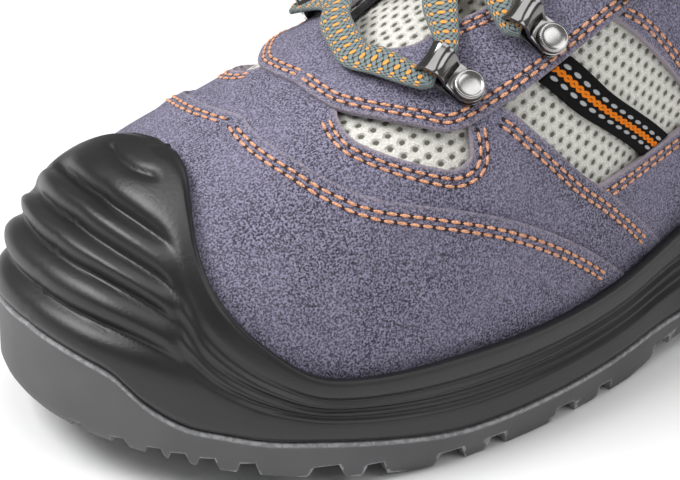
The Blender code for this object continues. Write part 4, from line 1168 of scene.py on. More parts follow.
def lay_panel(mesh, side, grid, lift, edges=None, form=skin):
    """Lay a grid of (station, rise) places on the upper's form."""
    station, rise = grid[..., 0], np.minimum(grid[..., 1], 1.0)
    points = form(side, station, rise, lift)
    value = edge_distance(points, edges) if edges is not None else None
    flat = cloth_map(side, station, rise)
    lay_grid(mesh, grid.shape[1] - 1, grid.shape[0] - 1, points, flat, value)


def on_form(side, places, lift):
    """Points on the upper's form at an array of (station, rise) places."""
    return skin(side, places[..., 0], np.minimum(places[..., 1], 1.0), lift)


def border_line(side, grid, lift):
    """The outline of a grid on the upper's form as lines of points."""
    return [on_form(side, line, lift) for line in (grid[:, 0], grid[:, -1], grid[0], grid[-1])]


def over_hem(away):
    """How far a panel rides up on what its edge covers, by the distance from that edge."""
    return OVERLAP * (1 - blend(OVERLAP_FLAT, OVERLAP_REACH, away))


WINDOW_GRID = (10, 16)
PUNCH = 0.003


def suede_panel(name, node_name, sides, rows, across, long, thickness, raised=(), bare=(), window=None):
    """A suede panel: raised edges ride up on what they cover, and bare ones only show worn."""
    grid = fill_grid(rows, across, long)
    hole = None if window is None else fill_grid(window, *WINDOW_GRID)
    mesh = bmesh.new()
    for side in sides:
        edges = [on_form(side, resample(line, 60), LAYER) for line in (*raised, *bare)]
        rise_over = 0.0
        if raised:
            rise_over = over_hem(edge_distance(on_form(side, grid, LAYER), edges[: len(raised)]))
        if hole is not None:
            edges += border_line(side, hole, LAYER)
        lay_panel(mesh, side, grid, LAYER + rise_over, edges or None)
    weld(mesh)
    face_outwards(mesh)
    piece = new_piece(name, mesh, finish("suede"), body=None, shift=False)
    wall(piece, thickness)
    cutters = []
    for side in sides if hole is not None else ():
        punch = bmesh.new()
        lay_grid(punch, *WINDOW_GRID, on_form(side, hole, LAYER - PUNCH / 2))
        weld(punch)
        face_outwards(punch)
        cutter = new_piece("punch", punch, [], body=None, shift=False)
        wall(cutter, PUNCH + SUEDE)
        cutters.append(settle(cutter))
    settle(piece)
    for cutter in cutters:
        cut(piece, cutter)
    piece.data.transform(SHIFT)
    piece.data.materials.clear()
    piece.data.materials.append(finish("suede"))
    piece.data.shade_smooth()
    soften(piece, 0.0006, 3)
    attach(piece, "root")
    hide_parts(node_name)
    return piece


def throat():
    return {"station": EYESTAY["throat_station"][::-1], "rise": EYESTAY["throat_rise"][::-1]}


def top_rise(station):
    station = np.asarray(station, float)
    open_part = read(throat(), "rise", station)
    rise = np.where(station <= TOPLINE["station"][-1], read(TOPLINE, "rise", station), open_part)
    return np.where(station >= throat()["station"][-1], 1.0, rise)


def build_upper():
    heel = np.linspace(0.0, 0.44, 56)[:-1]
    middle = resample(throat()["station"], 66)
    toe = np.linspace(EYESTAY["throat_station"][0], 1.0, 40)[1:]
    station = np.concatenate([heel, middle, toe])
    share = np.linspace(0, 1, 49)
    top = np.concatenate([top_rise(heel), resample(throat()["rise"], 66), np.ones(len(toe))])
    grid = np.stack([np.repeat(station[:, None], len(share), 1), top[:, None] * share[None, :]], -1)
    mesh = bmesh.new()
    for side in (OUTER, INNER):
        lay_panel(mesh, side, grid, 0.0)
    weld(mesh)
    face_outwards(mesh)
    piece = new_piece("upper_mesh", mesh, [finish("mesh"), finish("lining")])
    wall(piece, SHELL_WALL, inner_slot=1, edge_slot=1)
    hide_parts("upper")
    return piece


def toe_rows():
    low = VAMP["rise"][0]
    rows = [((seam + SEAM_GAP, low * 0.98), (seam + SEAM_GAP, max(rise, low) + 1e-4))
            for rise, seam in zip(VAMP["rise"], VAMP["seam"])]
    last = VAMP["seam"][-1] + SEAM_GAP
    return rows + [((last + (1 - last) * k / 8, low), (last + (1 - last) * k / 8, 1.0)) for k in range(1, 9)]


def eyestay_edge(rise):
    """Station of the eyestay's outer edge at a rise, or none below its corner."""
    rows = list(zip(EYESTAY["edge_rise"], EYESTAY["edge_station"]))
    for (high, front), (low, rear) in zip(rows, rows[1:]):
        if low <= rise <= high:
            return rear + (front - rear) * (rise - low) / (high - low)
        if front < VAMP["rear"][OPEN_ROWS]:
            break
    return 0.0


# Rows of the vamp's rear edge that lie open, below the eyestay
OPEN_ROWS = 7


def vamp_rows():
    """Rows of the vamp panel, which runs on under the toe panel and under the eyestay."""
    covered = [eyestay_edge(rise) - UNDERLAP for rise in VAMP["rise"][OPEN_ROWS:]]
    rears = [*VAMP["rear"][:OPEN_ROWS], *covered]
    return [((rear, rise), (seam + UNDERLAP, rise))
            for rise, rear, seam in zip(VAMP["rise"], rears, VAMP["seam"])]


HEEL_STATIONS = (0.04, 0.08, 0.12, 0.16)
CUFF_STATIONS = (0.0, *HEEL_STATIONS, 0.20, 0.25, 0.30, 0.335, 0.36, 0.38, 0.40, 0.415, 0.43, 0.438)
# Stations at the foot and at the top of the quarter's rows under the cuff
QUARTER_WAYS = ((0.215, 0.215), (0.25, 0.25), (0.30, 0.30), (0.35, 0.345), (0.39, 0.38), (0.42, 0.415))
QUARTER_FEET = (0.437, 0.447, 0.457, 0.468, 0.479)


def cuff_line(station):
    return float(read(TOPLINE, "cuff", station))


def quarter_rows():
    low = VAMP["rise"][0]
    rows = []
    for station in (HEEL_SEAM, *HEEL_STATIONS, 0.19):
        bottom = float(read(COUNTER, "rise", station)) - RISE_UNDERLAP
        top = cuff_line(station) + RISE_UNDERLAP
        rows.append(((station, bottom), (station, (bottom + top) / 2), (station, top)))
    for bottom, top in QUARTER_WAYS:
        edge = cuff_line(top) + RISE_UNDERLAP
        rows.append(((bottom, low), ((bottom + top) / 2, (low + edge) / 2), (top, edge)))
    edges = list(zip(EYESTAY["edge_station"], EYESTAY["edge_rise"]))[::-1]
    for bottom, (station, rise) in zip(QUARTER_FEET, edges):
        top = rise + RISE_UNDERLAP
        rows.append(((bottom, low), ((bottom + station) / 2 + QUARTER_BOW, (low + top) / 2), (station, top)))
    rows.append(tuple((VAMP["rear"][k] + UNDERLAP, VAMP["rise"][k]) for k in (0, 3, 6)))
    return rows


def build_panels():
    both = (OUTER, INNER)
    seam = np.array([(s + SEAM_GAP, r) for s, r in zip(VAMP["seam"], VAMP["rise"])])
    rear = np.stack([VAMP["rear"], VAMP["rise"]], -1)[:OPEN_ROWS]
    stay = [((row[0], row[1]), (row[2], row[3])) for row in zip(*EYESTAY.values())]
    throat_edge, outer_edge = np.swapaxes(np.array(stay), 0, 1)
    top = np.stack([COUNTER["station"], COUNTER["rise"]], -1)
    counter = [((s, VAMP["rise"][0]), (s, r)) for s, r in top]
    suede_panel("toe_suede", "toe_panel", both, toe_rows(), 70, 150, SUEDE_STOUT, (seam,))
    suede_panel("vamp_suede", "vamp_panel", both, vamp_rows(), 60, 110, SUEDE, (rear,), (), VAMP_WINDOW)
    for side, name in ((OUTER, "outer"), (INNER, "inner")):
        suede_panel("quarter_suede_" + name, "quarter_" + name, (side,), quarter_rows(), 50, 140, SUEDE,
                    (), (), QUARTER_WINDOW)
    suede_panel("eyestay_suede", "eyestay", both, stay, 30, 130, SUEDE_STOUT, (outer_edge,), (throat_edge,))
    suede_panel("counter_suede", "heel_counter", both, counter, 20, 40, SUEDE_STOUT, (top,))


def build_cuff():
    rows = [((s, cuff_line(s)), (s, float(read(TOPLINE, "rise", s)))) for s in CUFF_STATIONS]
    grid = fill_grid(rows, 22, 90)
    share = np.linspace(0, 1, 23)[None, :]
    swell = np.clip(np.sin(pi * share), 0, 1) ** 0.45
    groove = 1 - 0.35 * np.exp(-((share - 0.62) / 0.035) ** 2)
    mesh = bmesh.new()
    for side in (OUTER, INNER):
        lay_grid(mesh, 22, 90, on_form(side, grid, LAYER + CUFF_HEM + (CUFF_PAD - CUFF_HEM) * swell * groove))
        lay_grid(mesh, 22, 90, on_form(side, grid, LAYER))
    bmesh.ops.remove_doubles(mesh, verts=mesh.verts, dist=2e-5)
    loose = [e for e in mesh.edges if len(e.link_faces) == 1]
    bmesh.ops.bridge_loops(mesh, edges=loose)
    weld(mesh)
    piece = new_piece("collar_padding", mesh, finish("cuff"))
    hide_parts("collar_cuff")
    return piece


def build_tongue():
    rows = [((s, r), (top, 1.0)) for s, r, top in
            zip(TONGUE["edge_station"], TONGUE["edge_rise"], TONGUE["ridge_station"])]
    grid = fill_grid(rows, 26, 90)
    mesh = bmesh.new()
    for side in (OUTER, INNER):
        lay_panel(mesh, side, grid, -TONGUE_CLEARANCE, form=tongue_form)
    weld(mesh)
    face_outwards(mesh)
    piece = new_piece("tongue_padding", mesh, [finish("mesh"), finish("lining")])
    wall(piece, TONGUE_THICK, True, 1, 1)
    soften(piece, 0.0018, 4, 60)
    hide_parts("tongue")
    return piece


def build_ribbons():
    for side, name in ((OUTER, "outer"), (INNER, "inner")):
        points = on_form(side, fill_grid(RIBBON, 60, 14), LAYER)
        middle = points[len(points) // 2]
        run = lengths_along(middle)
        width = np.linalg.norm(points[-1] - points[0], axis=-1)
        off = (np.linspace(0, 1, len(points)) - 0.5)[:, None] * width[None, :]
        flat = np.stack([np.broadcast_to(run[None, :], off.shape), off], -1)
        mesh = bmesh.new()
        lay_grid(mesh, 60, 14, points, flat)
        weld(mesh)
        face_outwards(mesh)
        piece = new_piece("ribbon_tape_" + name, mesh, finish("ribbon"))
        wall(piece, RIBBON_THICK)
        soften(piece, 0.0003)
        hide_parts("ribbon_" + name)


# Seams

def offset_line(side, line, distance, inside):
    """Move a line of (station, rise) places along the surface, towards the place inside."""
    station, rise = line[:, 0], np.minimum(line[:, 1], 0.995)
    step = 2e-3
    p = skin(side, station, rise)
    by_station = (skin(side, station + step, rise) - skin(side, station - step, rise)) / (2 * step)
    by_rise = (skin(side, station, rise + step) - skin(side, station, rise - step)) / (2 * step)
    run = unit(np.gradient(p, axis=0))
    away = np.cross(skin_normal(side, station, rise), run)
    goal = skin(side, inside[0], inside[1])
    middle = len(p) // 2
    if np.dot(away[middle], goal - p[middle]) < 0:
        away = -away
    target = away * distance
    a, b, c = (by_station**2).sum(1), (by_station * by_rise).sum(1), (by_rise**2).sum(1)
    d, e = (by_station * target).sum(1), (by_rise * target).sum(1)
    det = a * c - b * b
    return np.stack([station + (d * c - e * b) / det, rise + (a * e - b * d) / det], -1)


def seam_places(side, line, lift, pitch):
    """Points, runs and normals of stitches spread evenly along a line of places."""
    fine = resample(line, len(line) * 8)
    station, rise = fine[:, 0], np.clip(fine[:, 1], 0, 0.999)
    p = skin(side, station, rise, lift)
    n = skin_normal(side, station, rise)
    length = lengths_along(p)
    at = (np.arange(int(length[-1] / pitch)) + 0.5) * pitch

    def pick(values, places):
        return np.stack([np.interp(places, length, values[:, k]) for k in range(3)], -1)

    run = unit(pick(p, at + pitch * 0.3) - pick(p, at - pitch * 0.3))
    return pick(p, at), run, pick(n, at), pick(p, at + pitch / 2), pick(n, at + pitch / 2)


def seam_lines():
    """Each seam's edge, the place that its rows move towards, its lift, its rows and if it rides up."""
    toe = np.array([(seam + SEAM_GAP, rise) for rise, seam in zip(VAMP["rise"], VAMP["seam"])][1:])
    vamp_rear = np.stack([VAMP["rear"], VAMP["rise"]], -1)[1:OPEN_ROWS]
    stay = np.stack([EYESTAY["edge_station"], EYESTAY["edge_rise"]], -1)
    stay_throat = np.stack([EYESTAY["throat_station"], EYESTAY["throat_rise"]], -1)[4:]
    window = np.array([r[1] for r in VAMP_WINDOW] + [VAMP_WINDOW[-1][0]])
    corner = QUARTER_WINDOW[0][0]
    lower = np.array([(0.545, 0.232), (0.520, 0.222), (0.490, 0.206), corner])
    rear = np.array([corner, (0.485, 0.32), (0.505, 0.43), (0.520, 0.50)])
    counter = np.stack([COUNTER["station"], COUNTER["rise"]], -1)
    stout, thin = STOUT_TOP, LAYER + SUEDE
    return [
        (toe, (0.80, 0.40), stout, (0.0027, 0.0044), True),
        (vamp_rear, (0.62, 0.30), thin, (0.0026, 0.0043), True),
        (stay, (0.58, 0.68), stout, (0.0018, 0.0034), True),
        (stay_throat, (0.60, 0.70), stout, (0.0016, 0.0032), False),
        (window, (0.70, 0.50), thin, (0.0020, 0.0037), False),
        (lower, (0.50, 0.12), thin, (0.0020, 0.0037), False),
        (rear, (0.46, 0.30), thin, (0.0022, 0.0039), False),
        (counter, (0.05, 0.08), stout, (0.0022, 0.0040), True),
    ]


# Half sizes of the dark ovals between stitches, painted shadow of the needle holes
HOLE_SHADOW_HALF = (0.00075, 0.00055)


def template(name, make, place, **sizes):
    """One small shape, to be laid many times over."""
    shape = bmesh.new()
    make(shape, matrix=place, **sizes)
    data = bpy.data.meshes.new(name)
    shape.to_mesh(data)
    shape.free()
    return data


def build_stitches():
    seams = bpy.context.scene.shoe_seams
    thread, holes = bmesh.new(), bmesh.new()
    half = (seams.pitch * 0.40, seams.thread * 0.5, seams.thread * 0.42)
    lying = Matrix.Diagonal((*half, 1.0)) @ Matrix.Rotation(pi / 2, 4, "Y")
    stitch = template("one_stitch", bmesh.ops.create_uvsphere, lying, u_segments=8, v_segments=6, radius=1.0)
    # Each needle hole is a flat dark oval, painted shadow in the hole
    shadow_spot = template("one_hole_shadow", bmesh.ops.create_circle, Matrix.Diagonal((*HOLE_SHADOW_HALF, 1.0, 1.0)),
                    cap_ends=True, segments=8, radius=1.0)

    def put(mesh, shape, point, run, normal):
        start = len(mesh.verts)
        mesh.from_mesh(shape)
        mesh.verts.ensure_lookup_table()
        across = np.cross(normal, run)
        place = Matrix((run, across, np.cross(run, across))).transposed().to_4x4()
        place.translation = Vector(point)
        bmesh.ops.transform(mesh, matrix=place, verts=mesh.verts[start:])

    for side in (OUTER, INNER):
        for line, inside, lift, offsets, rides in seam_lines():
            for offset in offsets:
                row = offset_line(side, resample(line, len(line) * 6), offset, inside)
                over = float(over_hem(offset)) if rides else 0.0
                places, runs, normals, gaps, gap_normals = seam_places(side, row, lift + over, seams.pitch)
                for k in range(len(places)):
                    put(thread, stitch, places[k] + normals[k] * 0.00008, runs[k], normals[k])
                    put(holes, shadow_spot, gaps[k] + gap_normals[k] * 0.00005, runs[k], gap_normals[k])
    bpy.data.meshes.remove(stitch)
    bpy.data.meshes.remove(shadow_spot)
    new_piece("seam_stitches", thread, finish("thread"))
    new_piece("painted_hole_shadows", holes, finish("hole"))


# Lace loops, rivets and lace

def loop_frame(side, station, rise):
    """A frame on the eyestay: X towards the throat, Z off the upper."""
    origin = Vector(skin(side, station, rise, STOUT_TOP + FIT))
    target = Vector(skin(side, station + 0.016, rise + 0.15, STOUT_TOP + FIT))
    normal = Vector(skin_normal(side, station, rise + 0.04))
    run = target - origin
    run = (run - normal * run.dot(normal)).normalized()
    across = normal.cross(run)
    place = Matrix((run, across, normal)).transposed().to_4x4()
    place.translation = origin
    return place


def loop_frames():
    return {side: [loop_frame(side, s, r) for s, r in zip(RIVETS["station"], RIVETS["rise"])]
            for side in (OUTER, INNER)}


# The rivet cap from its foot to its dished middle: share of the radius, and height
RIVET_PROFILE = (
    (0.00, 0.0), (0.97, 0.0), (1.00, 0.0002), (1.00, 0.0009), (0.97, 0.0012), (0.91, 0.0014),
    (0.84, 0.00138), (0.77, 0.0012), (0.68, 0.00105), (0.40, 0.00092), (0.00, 0.00088),
)


def build_loops():
    low = LOOP_GAUGE / 2
    centre = low + LOOP_ROLL
    flat = RIVET_RADIUS + FIT
    tail = [-flat * cos(a) for a in np.linspace(0.06, pi / 2, 7)]
    path = [(x, low) for x in tail] + [(flat, low), (LOOP_REACH * 0.72, low)]
    for k in range(19):
        angle = -pi / 2 + pi * 1.2 * k / 18
        path.append((LOOP_REACH + LOOP_ROLL * cos(angle), centre + LOOP_ROLL * sin(angle)))
    path += [(LOOP_REACH * 0.66, low + LOOP_FOLD + 0.0015), (flat * 1.2, low + LOOP_FOLD + 0.0003)]
    path += [(x, low + LOOP_FOLD) for x in tail[::-1]]
    path = np.array(path)
    across = np.linspace(-1, 1, 11)
    run = unit(np.gradient(path, axis=0))
    off = np.stack([run[:, 1], -run[:, 0]], -1)
    rolled = blend(flat, LOOP_REACH, path[:, 0])
    saddle = np.exp(-((path[:, 0] - LOOP_REACH * 0.62) / 0.0022) ** 2)
    dish = (0.0004 * rolled + 0.0006 * saddle)[:, None] * (across[None, :] ** 2)
    x = path[:, 0][:, None] + off[:, 0][:, None] * dish
    z = path[:, 1][:, None] + off[:, 1][:, None] * dish
    round_end = np.sqrt(1 - np.clip(-path[:, 0] / flat, 0, 0.9985) ** 2)
    waist = (1 - 0.16 * saddle) * round_end
    y = across[None, :] * LOOP_WIDTH / 2 * waist[:, None]
    points = np.stack([x, np.broadcast_to(y, x.shape), z], -1)
    for side, word in ((OUTER, "outer"), (INNER, "inner")):
        for k, place in enumerate(loop_frames()[side]):
            mesh = bmesh.new()
            lay_grid(mesh, len(across) - 1, len(path) - 1, points)
            bmesh.ops.recalc_face_normals(mesh, faces=mesh.faces)
            bmesh.ops.transform(mesh, matrix=place, verts=mesh.verts)
            piece = new_piece("loop_strap_%s_%d" % (word, k + 1), mesh, finish("metal"))
            gauge = wall(piece, LOOP_GAUGE)
            gauge.offset = 0.0
            gauge.use_even_offset = False
            gauge.use_quality_normals = False
            soften(piece, 0.00022, 2)
            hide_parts("lace_loop_%s_%d" % (word, k + 1))
            cap = bmesh.new()
            verts = [cap.verts.new((share * RIVET_RADIUS, 0.0, height)) for share, height in RIVET_PROFILE]
            edges = [cap.edges.new(pair) for pair in zip(verts, verts[1:])]
            bmesh.ops.spin(cap, geom=verts + edges, cent=(0, 0, 0), axis=(0, 0, 1), angle=2 * pi,
                           steps=40, use_merge=True)
            weld(cap, 1e-6)
            base = LOOP_GAUGE + LOOP_FOLD + FIT
            bmesh.ops.transform(cap, matrix=place @ Matrix.Translation((0, 0, base)), verts=cap.verts)
            rivet = new_piece("rivet_cap_%s_%d" % (word, k + 1), cap, finish("rivet"))
            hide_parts("rivet_%s_%d" % (word, k + 1))


LACE_FLAT = 0.0013
LACE_STEP = 0.0050
LACE_MOUTH = 0.0036
LACE_SWING = 0.005
LACE_LEAD = {OUTER: 0.005, INNER: -0.006}
BAR_BOW = -0.036
BAR_LIFT = 0.0064
LACE_TAIL = 0.0010
CROSSING_SHARES = (0.17, 0.33, 0.5, 0.67, 0.83)
LACE_OVER = 0.0017
LACE_LIFT = table(
    "share lift",
    (0.00, 0.0072), (0.17, 0.0066), (0.33, 0.0050), (0.50, 0.0036), (0.67, 0.0050), (0.83, 0.0066),
    (1.00, 0.0072),
)


def lace_eye(frames, side, number, enter, leave):
    """A lace's places through a loop: point, width and which way its flat side faces."""
    place = frames[side][number]
    middle = Vector((LOOP_REACH, 0.0, LOOP_GAUGE / 2 + LOOP_ROLL))
    front = 1.0 if (place.to_3x3() @ Vector((0, 1, 0))).x > 0 else -1.0
    up = place.to_3x3() @ Vector((0, 0, 1))

    def beside(distance, width):
        return (place @ (middle + Vector((0.0, distance * front, 0.0))), width, up)

    gathered = LACE_WIDTH * 0.6
    if enter == 0:
        places = [beside(-leave * LACE_TAIL, LACE_PINCHED)]
    else:
        places = [beside(enter * LACE_STEP, gathered), beside(enter * LACE_MOUTH, LACE_PINCHED)]
    if leave == 0:
        return places + [beside(-enter * LACE_TAIL, LACE_PINCHED)]
    return places + [beside(leave * LACE_MOUTH, LACE_PINCHED), beside(leave * LACE_STEP, gathered)]


def across_tongue(start, end, share, over, bow):
    """A lace's place over the tongue; a bow to the toe lays it on the eyestay's front."""
    station = start[1] + (end[1] - start[1]) * share - bow * sin(pi * share**0.75)
    near, far = (side * (1 - rise) for side, _, rise in (start, end))
    swing = near + (far - near) * share
    side = OUTER if swing >= 0 else INNER
    rise = 1 - abs(swing)
    lift = float(read(LACE_LIFT, "lift", share)) + over * sin(pi * share)
    if bow:
        point = Vector(skin(side, station, rise, BAR_LIFT + 0.0014 * (2 * share - 1) ** 2))
    else:
        point = Vector(tongue_form(side, station, rise, lift))
    return (point, LACE_WIDTH, Vector(skin_normal(side, station, min(rise, 0.99))))


def lace_route(frames, visits, over):
    """Places of a lace through its visits: side, loop, and the ways that it enters and leaves."""
    route = []
    for k, (side, number, enter, leave) in enumerate(visits):
        if k:
            before = visits[k - 1]
            bow = BAR_BOW if before[3] == enter else 0.0
            ends = [(a, RIVETS["station"][n] + LACE_LEAD[a] + LACE_SWING * way, RIVETS["rise"][n] + 0.15)
                    for a, n, way in ((before[0], before[1], before[3]), (side, number, enter))]
            route += [across_tongue(*ends, share, over, bow) for share in CROSSING_SHARES]
        route += lace_eye(frames, side, number, enter, leave)
    return route


def lay_lace(mesh, route, scale):
    """A flat braid with round edges along a route."""
    fine = smooth_way(np.array([[*p, w, *up] for p, w, up in route]), 0.0011)
    points, width, up = fine[:, :3], fine[:, 3] * scale, fine[:, 4:]
    run = unit(np.gradient(points, axis=0))
    up = unit(up - run * (up * run).sum(1, keepdims=True))
    across = np.cross(run, up)
    length = lengths_along(points)
    around = 24
    angle = np.linspace(0, 2 * pi, around + 1)
    a = np.sign(np.cos(angle)) * np.abs(np.cos(angle)) ** 0.6
    b = np.sign(np.sin(angle)) * np.abs(np.sin(angle)) ** 0.8
    half = width[:, None] / 2
    pinch = (LACE_WIDTH - fine[:, 3]) / (LACE_WIDTH - LACE_PINCHED)
    thick = (LACE_FLAT + (LACE_THICK + 0.0004 - LACE_FLAT) * pinch)[:, None] * scale / 2
    sideways = across[:, None] * (a[None, :] * half)[..., None]
    wide = points[:, None] + sideways + up[:, None] * (b[None] * thick)[..., None]
    share = np.where(angle <= pi, angle / pi, 2 - angle / pi)
    flat = np.stack([np.broadcast_to(length[:, None], half.shape[:1] + (around + 1,)),
                     (share[None, :] - 0.5) * LACE_WIDTH * np.ones_like(length)[:, None]], -1)
    lay_grid(mesh, around, len(points) - 1, wide, flat)


def build_lace():
    frames = loop_frames()
    count = len(RIVETS["station"])
    first = [(OUTER, 0, 0, -1)]
    second = [(OUTER, 0, 0, 1), (INNER, 0, 1, -1)]
    for k in range(1, count):
        leave = 0 if k == count - 1 else -1
        near, far = (INNER, OUTER) if k % 2 else (OUTER, INNER)
        first.append((near, k, 1, leave))
        second.append((far, k, 1, leave))
    mesh = bmesh.new()
    lay_lace(mesh, lace_route(frames, first, 0.0), 1.0)
    lay_lace(mesh, lace_route(frames, second, LACE_OVER), 0.97)
    bmesh.ops.remove_doubles(mesh, verts=mesh.verts, dist=1e-6)
    bmesh.ops.holes_fill(mesh, edges=[e for e in mesh.edges if len(e.link_faces) == 1], sides=0)
    bmesh.ops.recalc_face_normals(mesh, faces=mesh.faces)
    piece = new_piece("lace_braid", mesh, finish("lace"))
    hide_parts("lace")
    return piece


# Stage

CAMERA_AZIMUTH = 145.0
CAMERA_ELEVATION = 26.2
CAMERA_ROLL = 0.5
CAMERA_DISTANCE = 0.729
CAMERA_LENS = 155.9
LAMP_AIM = (0.12, 0.0, 0.04)
CAMERA_AIM = (0.2126 - ORIGIN_X, -0.0064, 0.030)


def build_stage():
    stage = bpy.context.scene.shoe_stage
    mesh = bmesh.new()
    bmesh.ops.create_grid(mesh, x_segments=2, y_segments=2, size=stage.floor_size / 2)
    data = bpy.data.meshes.new("stage_floor")
    mesh.to_mesh(data)
    mesh.free()
    floor = bpy.data.objects.new("stage_floor", data)
    bpy.context.scene.collection.objects.link(floor)
    data.materials.append(blank("pale_floor", tuple(stage.floor_colour), 0.9)[0])

    a, e, r = radians(CAMERA_AZIMUTH), radians(CAMERA_ELEVATION), radians(CAMERA_ROLL)
    back = Vector((sin(a) * cos(e), -cos(a) * cos(e), sin(e)))
    right = Vector((cos(a), sin(a), 0.0))
    up = back.cross(right)
    right, up = right * cos(r) + up * sin(r), up * cos(r) - right * sin(r)
    camera = bpy.data.objects.new("photo_camera", bpy.data.cameras.new("photo_camera"))
    place = Matrix((right, up, back)).transposed().to_4x4()
    place.translation = Vector(CAMERA_AIM) + back * CAMERA_DISTANCE
    camera.matrix_world = place
    camera.data.lens = CAMERA_LENS
    camera.data.sensor_width = 36.0
    camera.data.clip_start = 0.01
    bpy.context.scene.collection.objects.link(camera)
    bpy.context.scene.camera = camera

    def lamp(name, position, size, energy):
        light = bpy.data.lights.new(name, "AREA")
        light.shape = "RECTANGLE"
        light.size, light.size_y = size
        light.energy = energy
        thing = bpy.data.objects.new(name, light)
        bpy.context.scene.collection.objects.link(thing)
        direction = Vector(LAMP_AIM) - Vector(position)
        thing.rotation_euler = direction.to_track_quat("-Z", "Y").to_euler()
        thing.location = position

    lamp("key_light", (0.75, -0.25, 0.85), (0.7, 0.5), stage.key_power)
    lamp("side_light", (-0.25, 0.85, 0.65), (0.8, 0.5), stage.fill_power)
    lamp("top_light", (0.1, 0.1, 1.1), (0.9, 0.9), stage.top_power)
    world = bpy.data.worlds.new("pale_room")
    world.use_nodes = True
    world.node_tree.nodes["Background"].inputs["Color"].default_value = (1.0, 1.0, 1.0, 1.0)
    world.node_tree.nodes["Background"].inputs["Strength"].default_value = stage.room_light
    bpy.context.scene.world = world
    bpy.context.scene.view_settings.view_transform = "Standard"


# The add-on

def colour(name, words, value):
    return bpy.props.FloatVectorProperty(name=name, description=words, subtype="COLOR", size=3, default=value,
                                         min=0.0, max=1.0)


def length(name, words, value, least):
    return bpy.props.FloatProperty(name=name, description=words, default=value, min=least,
                                   subtype="DISTANCE", unit="LENGTH")


def power(name, words, value):
    return bpy.props.FloatProperty(name=name, description=words, default=value, min=0.0, unit="POWER")


class ShoeColours(bpy.types.PropertyGroup):
    """Colours of the finishes."""
    suede: colour("Suede", "Nap of the suede panels", (0.132, 0.124, 0.172))
    worn_edge: colour("Worn edge", "Cut edges of the suede", (0.36, 0.31, 0.34))
    mesh: colour("Mesh", "Yarn of the knitted mesh", (0.90, 0.89, 0.82))
    # Holes of the mesh: the backing's own colour with painted shade in the hollow
    mesh_hole_shade: colour("Mesh hole", "Backing seen through the mesh", (0.130, 0.125, 0.100))
    midsole: colour("Midsole", "Moulded midsole and bumper", (0.013, 0.013, 0.0135))
    outsole: colour("Outsole", "Tread rubber", (0.105, 0.105, 0.108))
    thread: colour("Thread", "Seam thread", (0.80, 0.33, 0.15))
    lace: colour("Lace", "Dark yarns of the lace", (0.13, 0.17, 0.17))
    lace_pale: colour("Lace highlight", "Light yarns of the lace", (0.33, 0.40, 0.40))
    ribbon_thread: colour("Ribbon braid", "Braid down the middle of the ribbon", (0.92, 0.24, 0.015))
    metal: colour("Metal", "Lace loops and rivets", (0.26, 0.255, 0.25))


class ShoeSeams(bpy.types.PropertyGroup):
    """Sizes of the seams."""
    pitch: length("Stitch pitch", "Distance from stitch to stitch", 0.0032, 0.001)
    thread: length("Thread width", "Width of the seam thread", 0.00080, 0.0002)


class ShoeStage(bpy.types.PropertyGroup):
    """Floor and light."""
    floor_size: length("Floor size", "Width of the square floor", 6.0, 0.5)
    floor_colour: colour("Floor", "Colour of the floor", (0.93, 0.93, 0.93))
    key_power: power("Key light", "Power of the light over the toe", 11.0)
    fill_power: power("Side light", "Power of the light on the outer side", 2.8)
    top_power: power("Top light", "Power of the light overhead", 5.0)
    room_light: bpy.props.FloatProperty(name="Room light", description="Strength of the light from all round",
                                        default=0.22, min=0.0)


class SHOE_OT_outsole(bpy.types.Operator):
    """Build the outsole with its lugs"""
    bl_idname = "shoe.outsole"
    bl_label = "Outsole"

    def execute(self, context):
        build_outsole()
        return {"FINISHED"}


class SHOE_OT_midsole(bpy.types.Operator):
    """Build the midsole with its ribbed bumper"""
    bl_idname = "shoe.midsole"
    bl_label = "Midsole"

    def execute(self, context):
        build_midsole()
        return {"FINISHED"}


class SHOE_OT_insole(bpy.types.Operator):
    """Build the insole"""
    bl_idname = "shoe.insole"
    bl_label = "Insole"

    def execute(self, context):
        build_insole()
        return {"FINISHED"}


class SHOE_OT_upper(bpy.types.Operator):
    """Build the mesh upper"""
    bl_idname = "shoe.upper"
    bl_label = "Upper"

    def execute(self, context):
        build_upper()
        return {"FINISHED"}


class SHOE_OT_panels(bpy.types.Operator):
    """Build the suede panels with their windows"""
    bl_idname = "shoe.panels"
    bl_label = "Suede panels"

    def execute(self, context):
        build_panels()
        return {"FINISHED"}


class SHOE_OT_padding(bpy.types.Operator):
    """Build the padded cuff and the tongue"""
    bl_idname = "shoe.padding"
    bl_label = "Cuff and tongue"

    def execute(self, context):
        build_cuff()
        build_tongue()
        return {"FINISHED"}


class SHOE_OT_ribbons(bpy.types.Operator):
    """Build the woven ribbons across the side windows"""
    bl_idname = "shoe.ribbons"
    bl_label = "Ribbons"

    def execute(self, context):
        build_ribbons()
        return {"FINISHED"}


class SHOE_OT_stitches(bpy.types.Operator):
    """Sew the seams"""
    bl_idname = "shoe.stitches"
    bl_label = "Stitches"

    def execute(self, context):
        build_stitches()
        return {"FINISHED"}


class SHOE_OT_loops(bpy.types.Operator):
    """Build the lace loops and their rivets"""
    bl_idname = "shoe.loops"
    bl_label = "Lace loops"

    def execute(self, context):
        build_loops()
        return {"FINISHED"}


class SHOE_OT_lace(bpy.types.Operator):
    """Run the lace through its loops"""
    bl_idname = "shoe.lace"
    bl_label = "Lace"

    def execute(self, context):
        build_lace()
        return {"FINISHED"}


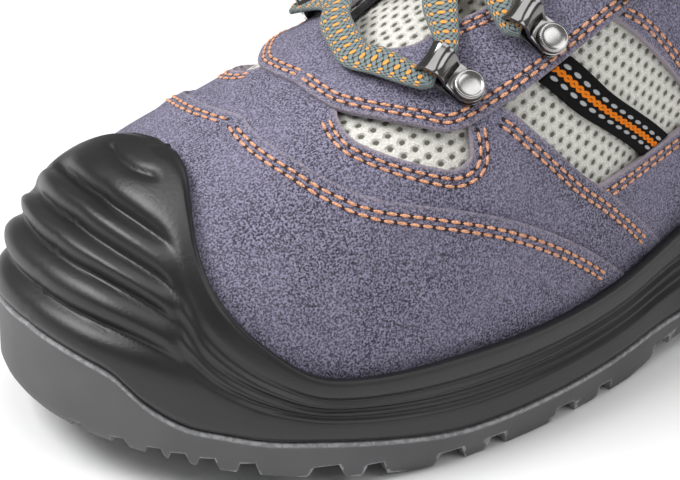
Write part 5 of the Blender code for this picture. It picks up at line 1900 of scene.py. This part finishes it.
class SHOE_OT_stage(bpy.types.Operator):
    """Set the floor, lights and camera"""
    bl_idname = "shoe.stage"
    bl_label = "Stage"

    def execute(self, context):
        build_stage()
        return {"FINISHED"}


OPERATORS = (SHOE_OT_stage, SHOE_OT_outsole, SHOE_OT_midsole, SHOE_OT_insole, SHOE_OT_upper, SHOE_OT_panels,
             SHOE_OT_padding, SHOE_OT_ribbons, SHOE_OT_stitches, SHOE_OT_loops, SHOE_OT_lace)


class SHOE_PT_panel(bpy.types.Panel):
    """Sizes, colours and steps of the shoe's looks"""
    bl_idname = "SHOE_PT_panel"
    bl_label = "Safety shoe"
    bl_space_type = "VIEW_3D"
    bl_region_type = "UI"
    bl_category = "Shoe"

    def draw(self, context):
        layout = self.layout
        for group in (context.scene.shoe_colours, context.scene.shoe_seams, context.scene.shoe_stage):
            for key in group.__annotations__:
                layout.prop(group, key)
        for operator in OPERATORS:
            layout.operator(operator.bl_idname)


GROUPS = {"shoe_colours": ShoeColours, "shoe_seams": ShoeSeams, "shoe_stage": ShoeStage}


def register():
    for group in GROUPS.values():
        bpy.utils.register_class(group)
    for name, group in GROUPS.items():
        setattr(bpy.types.Scene, name, bpy.props.PointerProperty(type=group))
    for operator in OPERATORS:
        bpy.utils.register_class(operator)
    bpy.utils.register_class(SHOE_PT_panel)


def unregister():
    bpy.utils.unregister_class(SHOE_PT_panel)
    for operator in reversed(OPERATORS):
        bpy.utils.unregister_class(operator)
    for name in GROUPS:
        delattr(bpy.types.Scene, name)
    for group in reversed(list(GROUPS.values())):
        bpy.utils.unregister_class(group)


def main():
    register()
    bpy.ops.shoe.stage()
    bpy.ops.shoe.outsole()
    bpy.ops.shoe.midsole()
    bpy.ops.shoe.insole()
    bpy.ops.shoe.upper()
    bpy.ops.shoe.panels()
    bpy.ops.shoe.padding()
    bpy.ops.shoe.ribbons()
    bpy.ops.shoe.stitches()
    bpy.ops.shoe.loops()
    bpy.ops.shoe.lace()


if __name__ == "__main__":
    main()
